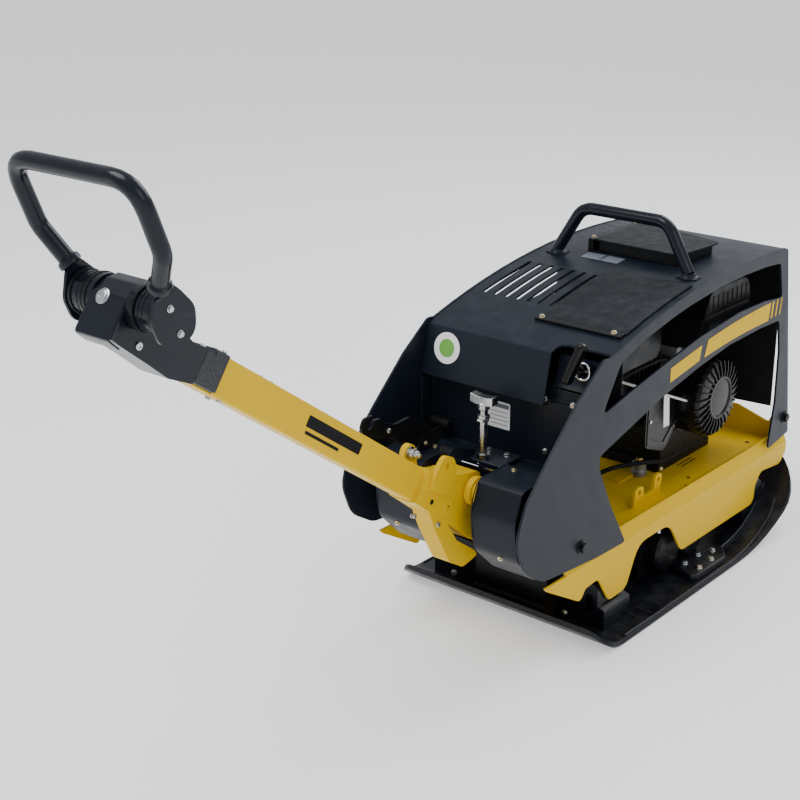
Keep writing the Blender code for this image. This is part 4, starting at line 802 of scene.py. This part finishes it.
def hood_details():
    """Bolts, lifting bow feet, the baffle behind the rear wall, and the blank labels."""
    mesh = bmesh.new()
    for side in (1, -1):
        for y, z in ((-0.4237, 0.2288), (0.4037, 0.2486)):
            lathe(mesh, aim((side * HOOD_SIDE_X, y, z), (side, 0, 0)), [(0.0, 0.0150), (0.0012, 0.0150)], 28)
            hex_bolt(mesh, (side * (HOOD_SIDE_X + 0.0010), y, z), (side, 0, 0), 0.0108)
    piece("hood_side_bolts", mesh, BLACK_COAT, "machine", 0.0005)

    mesh = bmesh.new()
    bar_y = -0.2803
    lift = hood_top(bar_y) + 0.0048
    for x in (0.0056, 0.1700):
        hex_bolt(mesh, (x, bar_y, lift), roof_normal(bar_y), 0.0052)
    for y in (0.0640, 0.2300):
        hex_bolt(mesh, (-0.1018, y, 0.6836), UP, 0.0048)
    piece("mat_bolts", mesh, GOLD_ZINC, "machine", 0.0003)

    mesh = bmesh.new()
    for spot in ((0.0750, -0.3642, 0.4800), (0.1402, -0.3642, 0.4800), (0.0824, -0.3685, 0.3736),
                 (0.1830, -0.3685, 0.3736), (-0.1750, -0.3642, 0.4700)):
        hex_bolt(mesh, spot, REAR, 0.0058)
    piece("wall_bolts", mesh, ZINC, "machine", 0.0003)

    mesh = bmesh.new()
    for side in (1, -1):
        foot = Vector((side * 0.159, 0.012, hood_top(0.012) - 0.0014))
        up = roof_normal(0.012)
        lathe(mesh, aim(foot, up), [(0.0, 0.0200), (0.0024, 0.0196), (0.0040, 0.0165), (0.0064, 0.0146),
                                    (0.0095, 0.0132)], 30)
        slab(mesh, aim(foot, up), rounded_rectangle(0.046, 0.030, 0.006), 0.0022)
    piece("lifting_bow_feet", mesh, SLATE, "machine", 0.0006)

    mesh = bmesh.new()
    inner = [(-0.060, 0.4400), (0.2030, 0.4400), (0.2030, 0.5850), (-0.060, 0.5930)]
    slab(mesh, Matrix.Translation((0, -0.2950, 0)) @ FACING_REAR, inner, 0.0015)
    piece("starter_baffle", mesh, BLACK_COAT, "machine", 0.0004)

    wall = Matrix.Translation((-0.0315, -0.3641, 0.4205)) @ FACING_REAR
    label("wall_label", wall, rounded_rectangle(0.0530, 0.0555, 0.003), WHITE_LABEL)
    label("wall_label_band", wall @ Matrix.Translation((0.0, 0.0195, 0.0003)),
          rounded_rectangle(0.0470, 0.0085, 0.001), GREY_LABEL)
    for index in range(4):
        label(f"wall_label_rule_{index}", wall @ Matrix.Translation((0.0, 0.0065 - 0.0085 * index, 0.0003)),
              rounded_rectangle(0.0430, 0.0012, 0.0004), GREY_LABEL)

    back = aim((-0.1497, -0.3815, 0.5377), (0, -0.98, 0.20))
    label("round_label", back, disc(0.0315, 40), WHITE_LABEL)
    label("round_label_centre", back @ Matrix.Translation((0, 0, FILM)), disc(0.0185, 32), GREEN_LABEL)
    for x in (-0.0730, -0.0330):
        y = 0.0245
        roof = aim((x, y, hood_top(y) - 0.0014), roof_normal(y))
        label(f"roof_label_{int(-x * 1000)}", roof, rounded_rectangle(0.050, 0.034, 0.003), GREY_LABEL)


def band_decal():
    """Yellow band with three slanted stripes along each side's upper rail."""
    def edge(y):
        """Height of the rail's upper edge at y."""
        return 0.5255 + (y - 0.0022) * 0.0710 - max(0.0, -y) * 0.075
    for side, word in ((1, "right"), (-1, "left")):
        place = side_place(HOOD_SIDE_X, side)
        band = []
        for step in range(15):
            y = 0.0200 + 0.2686 * step / 14
            band.append((y, 0.5295 + 0.0163 * step / 14 + 0.004 * sin(pi * step / 14)))
        for step in range(15):
            y = 0.2816 - 0.2748 * step / 14
            band.append((y, 0.5066 - 0.0121 * step / 14 + 0.004 * sin(pi * step / 14)))
        label(f"band_{word}", place, band, YELLOW_LABEL)
        tail = []
        for step in range(9):
            y = -0.1259 + 0.1210 * step / 8
            tail.append((y, edge(y) - 0.0005))
        for step in range(9):
            y = -0.0130 - 0.1128 * step / 8
            tail.append((y, edge(y) - 0.0305))
        label(f"band_tail_{word}", place, tail, YELLOW_LABEL)
        for index, y in enumerate((0.2962, 0.3163, 0.3365)):
            wide = 0.0080 - 0.0018 * index
            label(f"stripe_{word}_{index}", place,
                  [(y, 0.5462), (y + wide, 0.5464), (y + wide - 0.0056, 0.5095), (y - 0.0056, 0.5090)],
                  YELLOW_LABEL)


# ---------------------------------------------------------------- engine


FIN_COUNT = 28
FIN_SWEEP = 0.0035               # sideways shift at each step of a fin's profile
LUG_RADIUS = 0.0935              # of the three screw lugs round the starter
LUG_START = radians(100)
FIN_SECTION = ((-0.0010, -0.0019), (0.0032, -0.0015), (0.0032, 0.0015), (-0.0010, 0.0019))


def recoil_details():
    """Swept fins, rim, flange and screws of the recoil starter's cover, all round the crank's axis."""
    mesh = bmesh.new()
    profile = [(0.1762, 0.0460), (0.1768, 0.0600), (0.1728, 0.0800), (0.1610, 0.0884)]
    for index in range(FIN_COUNT):
        angle = tau * index / FIN_COUNT
        radial = Vector((0, cos(angle), sin(angle)))
        tangent = Vector((0, -sin(angle), cos(angle)))
        swept = []
        for step, (x, radius) in enumerate(profile):
            shift = tangent * (FIN_SWEEP * step)
            swept.append((x, CRANK + radial * radius + shift))
        rows = []
        for x, spot in swept:
            rows.append([mesh.verts.new(Vector((x + out, spot.y, spot.z)) + tangent * across)
                         for out, across in FIN_SECTION])
        for low, high in zip(rows, rows[1:]):
            for step in range(4):
                after = (step + 1) % 4
                mesh.faces.new((low[step], low[after], high[after], high[step]))
        mesh.faces.new(list(reversed(rows[0])))
        mesh.faces.new(rows[-1])
    place = aim(CRANK, RIGHT)
    lathe(mesh, place, [(0.1740, 0.0400), (0.1740, 0.0475), (0.1790, 0.0475), (0.1800, 0.0460),
                        (0.1795, 0.0420), (0.1770, 0.0400)], 48)
    lathe(mesh, place, [(0.1735, 0.0420), (0.1768, 0.0418), (0.1778, 0.0300), (0.1782, 0.0100)], 48)
    piece("recoil_fins", mesh, GLOSS_PLASTIC, "machine", 0.0004)

    mesh = bmesh.new()
    lathe(mesh, place, [(0.1010, 0.0880), (0.1010, 0.0905), (0.1060, 0.0905), (0.1060, 0.0880)], 48)
    for spot in ring_about_x(0.1010, CRANK.y, CRANK.z, LUG_RADIUS, 3, LUG_START):
        lathe(mesh, aim(spot, RIGHT), [(0.0, 0.0090), (0.0050, 0.0090), (0.0056, 0.0080)], 20)
    piece("recoil_flange", mesh, GLOSS_PLASTIC, "machine", 0.0004)

    mesh = bmesh.new()
    lug_screws = ring_about_x(0.1066, CRANK.y, CRANK.z, LUG_RADIUS, 3, LUG_START)
    for spot in (*lug_screws, (0.1223, -0.0440, 0.4180), (0.1223, -0.0440, 0.3480)):
        hex_bolt(mesh, spot, RIGHT, 0.0046)
    for y in (0.058, 0.246):
        for x in (-0.090, 0.088):
            hex_bolt(mesh, (x, y, 0.2191), UP, 0.0060)
    piece("engine_bolts", mesh, ZINC, "machine", 0.0003)


def engine_details():
    """What the windows show of the engine: labels, hoses, carburettor, drain, ribs and grips."""
    mesh = bmesh.new()
    sticker = [(0.0082, 0.3893), (0.0300, 0.3880), (0.0370, 0.3167), (0.0140, 0.3181)]
    slab(mesh, side_place(0.1222, 1), sticker, 0.0003)
    piece("shroud_label", mesh, WHITE_LABEL, "machine")

    mesh = bmesh.new()
    rim = [(-0.052, 0.296), (0.018, 0.268), (0.048, 0.300), (0.048, 0.316), (0.014, 0.286),
           (-0.040, 0.308), (-0.040, 0.428), (-0.052, 0.428)]
    slab(mesh, side_place(0.1221, 1), rim, 0.0016)
    piece("shroud_rim", mesh, GLOSS_PLASTIC, "machine", 0.0004)

    mesh = bmesh.new()
    pipe(mesh, bent([(0.060, -0.060, 0.420), (0.070, -0.105, 0.440), (0.105, -0.080, 0.468),
                     (0.112, 0.020, 0.470), (0.100, 0.060, 0.440)], 0.025, 6), 0.0036, 10)
    pipe(mesh, bent([(-0.060, 0.060, 0.518), (0.010, 0.020, 0.470), (0.088, 0.040, 0.462),
                     (0.110, 0.075, 0.440)], 0.025, 6), 0.0042, 10)
    pipe(mesh, bent([(0.020, -0.110, 0.215), (0.060, -0.080, 0.240), (0.105, -0.020, 0.246),
                     (0.110, 0.040, 0.230)], 0.02, 5), 0.0050, 10)
    pipe(mesh, bent([(-0.050, -0.352, 0.480), (-0.020, -0.300, 0.470), (0.030, -0.240, 0.430),
                     (0.060, -0.120, 0.400), (0.088, -0.060, 0.400)], 0.04, 6), 0.0040, 10)
    piece("engine_hoses", mesh, RUBBER, "machine")

    mesh = bmesh.new()
    carb = [(0.070, 0.070), (0.112, 0.070), (0.112, 0.130), (0.070, 0.130)]
    slab(mesh, Matrix.Translation((0, 0, 0.452)), carb, 0.026)
    lathe(mesh, aim((0.112, 0.100, 0.466), RIGHT), [(0.0, 0.011), (0.006, 0.011), (0.007, 0.009)], 20)
    lathe(mesh, aim((0.095, 0.062, 0.448), (0, 0, -1)), [(0.0, 0.014), (0.016, 0.014), (0.020, 0.010)], 24)
    piece("carburettor", mesh, CAST, "machine", 0.0012)

    mesh = bmesh.new()
    lathe(mesh, aim((0.070, 0.0120, 0.1972), UP), [(0.0, 0.0170), (0.012, 0.0170), (0.014, 0.0150),
                                                          (0.030, 0.0150), (0.033, 0.0120)], 24)
    piece("oil_drain_body", mesh, CAST, "machine", 0.0006)
    mesh = bmesh.new()
    lathe(mesh, aim((0.070, 0.0120, 0.2300), UP), [(0.0, 0.0080), (0.007, 0.0080), (0.008, 0.0065)], 6)
    hex_bolt(mesh, (0.1000, 0.0500, 0.2060), REAR, 0.0070)
    piece("oil_drain_plug", mesh, GOLD_ZINC, "machine", 0.0003)

    mesh = bmesh.new()
    for index in range(5):
        x = -0.120 + 0.042 * index
        slab(mesh, Matrix.Translation((0, -0.2052, 0)) @ FACING_REAR,
             [(x, 0.490), (x + 0.030, 0.490), (x + 0.030, 0.536), (x, 0.536)], 0.0022)
    piece("muffler_panels", mesh, BLACK_COAT, "machine", 0.0010)

    mesh = bmesh.new()
    for index in range(9):
        y = 0.082 + 0.020 * index
        slab(mesh, Matrix.Translation((0.1722, 0, 0)) @ side_place(0.0, 1),
             [(y, 0.566), (y + 0.010, 0.566), (y + 0.006, 0.594), (y - 0.002, 0.594)], 0.0014)
    knob = [(0.0, 0.002), (0.0, 0.016), (0.006, 0.016), (0.008, 0.013), (0.008, 0.002)]
    lathe(mesh, aim((0.1740, 0.165, 0.520), RIGHT), knob, 24)
    piece("air_filter_ribs", mesh, PLASTIC, "machine", 0.0008)

    mesh = bmesh.new()
    for index in range(12):
        angle = tau * index / 12
        spot = Vector((0.010 + 0.0262 * cos(angle), 0.130 + 0.0262 * sin(angle), 0.6650))
        lathe(mesh, aim(spot, UP), [(0.0, 0.0024), (0.0085, 0.0024), (0.0095, 0.0014)], 8)
    piece("fuel_cap_grips", mesh, PLASTIC, "fuel_cap_body")


def cord_details():
    """Short cord between the guide ring and the starter grip."""
    start = Vector((0.1520, -0.3515, 0.5500))
    end = Vector((0.1520, -0.3590, 0.5527))
    mesh = bmesh.new()
    points = [start.lerp(end, step / 24) for step in range(25)]
    pipe(mesh, points, 0.0026, 10)
    made = piece("grip_cord", mesh, CORD, None)
    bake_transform(made)


# ---------------------------------------------------------------- frame and base plate


def frame_details():
    """Painted shade for the deck's holes and slots, pads and fold lines of the deck, and the console bolts.
    """
    mesh = bmesh.new()
    # Black discs and thin black slot films stand for the deck's holes: painted shade.
    holes = ((0.1890, 0.0110, 0.2030, 0.3, 0.0052), (0.1600, 0.3300, 0.1969, 0.0, 0.0050),
             (0.1603, 0.0667, 0.1969, 0.0, 0.0040))
    for x, y, z, lean, radius in holes:
        lathe(mesh, aim((x, y, z), (lean, 0, 1)), [(-0.001, radius), (0.0006, radius)], 20)
    for index in range(2):
        x = 0.108 + 0.010 * index
        slab(mesh, Matrix.Translation((0, 0, 0.1969)), rounded_rectangle_at(x, 0.140, 0.0030, 0.060), 0.0004)
    piece("painted_deck_hole_shade", mesh, BLACK_COAT, "machine")

    mesh = bmesh.new()
    plate = [(0.040, -0.052), (0.066, -0.060), (0.066, 0.034), (0.048, 0.040)]
    slab(mesh, Matrix.Translation((0, 0, 0.1968)), plate, 0.0045)
    for y in (0.060, 0.100, 0.330):
        slab(mesh, Matrix.Translation((0, 0, 0.1965)), rounded_rectangle_at(0.135, y, 0.012, 0.010), 0.0012)
    piece("deck_pads", mesh, YELLOW, "machine", 0.0010)

    mesh = bmesh.new()
    for side in (1, -1):
        line = [(side * 0.1938, y, 0.2064) for y in (-0.44, -0.2, 0.05, 0.3, 0.43)]
        pipe(mesh, line, 0.0014, 8)
    piece("deck_fold_lines", mesh, YELLOW, "machine")

    mesh = bmesh.new()
    for x in (0.156, -0.156):
        hex_bolt(mesh, (x, -0.3160, 0.0800), (0, -1, 0.2), 0.0080)
    piece("console_bolts", mesh, GOLD_ZINC, "machine", 0.0003)


def base_details():
    """Exciter pads, bolts, ridges, breathers and cap screws on the base plate."""
    mesh = bmesh.new()
    outline = [(0.178, -0.010), (0.236, -0.034), (0.246, -0.020), (0.246, 0.098), (0.226, 0.128),
               (0.190, 0.140), (0.172, 0.128), (0.170, 0.004)]
    for side in (1, -1):
        place = Matrix.Translation((0, 0, 0.0110)) @ Matrix.Scale(side, 4, RIGHT)
        slab(mesh, place, outline, 0.0150)
    piece("exciter_pads", mesh, BASE_COAT, "machine", 0.0030)

    mesh = bmesh.new()
    spots = [(0.1961, 0.0089), (0.1970, 0.0632), (0.2299, 0.0102), (0.2295, 0.0621), (0.2103, 0.1018)]
    for x, y in spots:
        for side in (1, -1):
            hex_bolt(mesh, (side * x, y, 0.0259), UP, 0.0072, spin=x * 40)
    for x, z in ((-0.160, 0.0220), (-0.070, 0.0200), (0.035, 0.0200), (0.120, 0.0220)):
        hex_bolt(mesh, (x, -0.3342, z), REAR, 0.0066)
    piece("base_bolts", mesh, ZINC, "machine", 0.0004)

    mesh = bmesh.new()
    for side in (1, -1):
        inner = [(side * x, y, z) for x, y, z in (
            (0.2060, 0.1500, 0.0135), (0.2060, 0.1930, 0.0180), (0.2040, 0.2430, 0.0275),
            (0.1980, 0.3000, 0.0455), (0.1900, 0.3490, 0.0690), (0.1850, 0.3790, 0.0860))]
        pipe(mesh, inner, 0.0042, 10)
        rim = [(side * x, y, z) for x, y, z in (
            (0.2530, -0.3200, 0.0120), (0.2540, -0.2000, 0.0115), (0.2545, 0.0000, 0.0115),
            (0.2545, 0.1200, 0.0125), (0.2520, 0.1800, 0.0165), (0.2480, 0.2400, 0.0275),
            (0.2420, 0.3000, 0.0455), (0.2300, 0.3500, 0.0690))]
        pipe(mesh, rim, 0.0032, 10)
        for y in (-0.240, -0.205):
            pipe(mesh, [(side * 0.165, y, 0.0122), (side * 0.245, y, 0.0122)], 0.0024, 8)
    piece("base_ridges", mesh, BASE_COAT, "machine")

    mesh = bmesh.new()
    for side in (1, -1):
        place = aim((side * 0.1700, -0.0650, 0.1180), UP)
        valve = [(0.0, 0.0060), (0.012, 0.0060), (0.013, 0.0090), (0.020, 0.0090), (0.022, 0.0070)]
        lathe(mesh, place, valve, 16)
    piece("exciter_breathers", mesh, ZINC, "machine", 0.0003)

    mesh = bmesh.new()
    for side in (1, -1):
        for y in (-0.035, 0.065):
            for spot in ring_about_x(side * 0.1460, y, 0.068, 0.0440, 6, tau / 12):
                socket_bolt(mesh, spot, (side, 0, 0), 0.0045, 0.0035)
    piece("exciter_cap_screws", mesh, BLACK_COAT, "machine", 0.0003)


camera()
floor()
lighting()
dress_nodes()
head_details()
bow_details()
drawbar_details()
spindle_details()
guard_details()
latch_details()
hood_details()
band_decal()
recoil_details()
engine_details()
cord_details()
frame_details()
base_details()
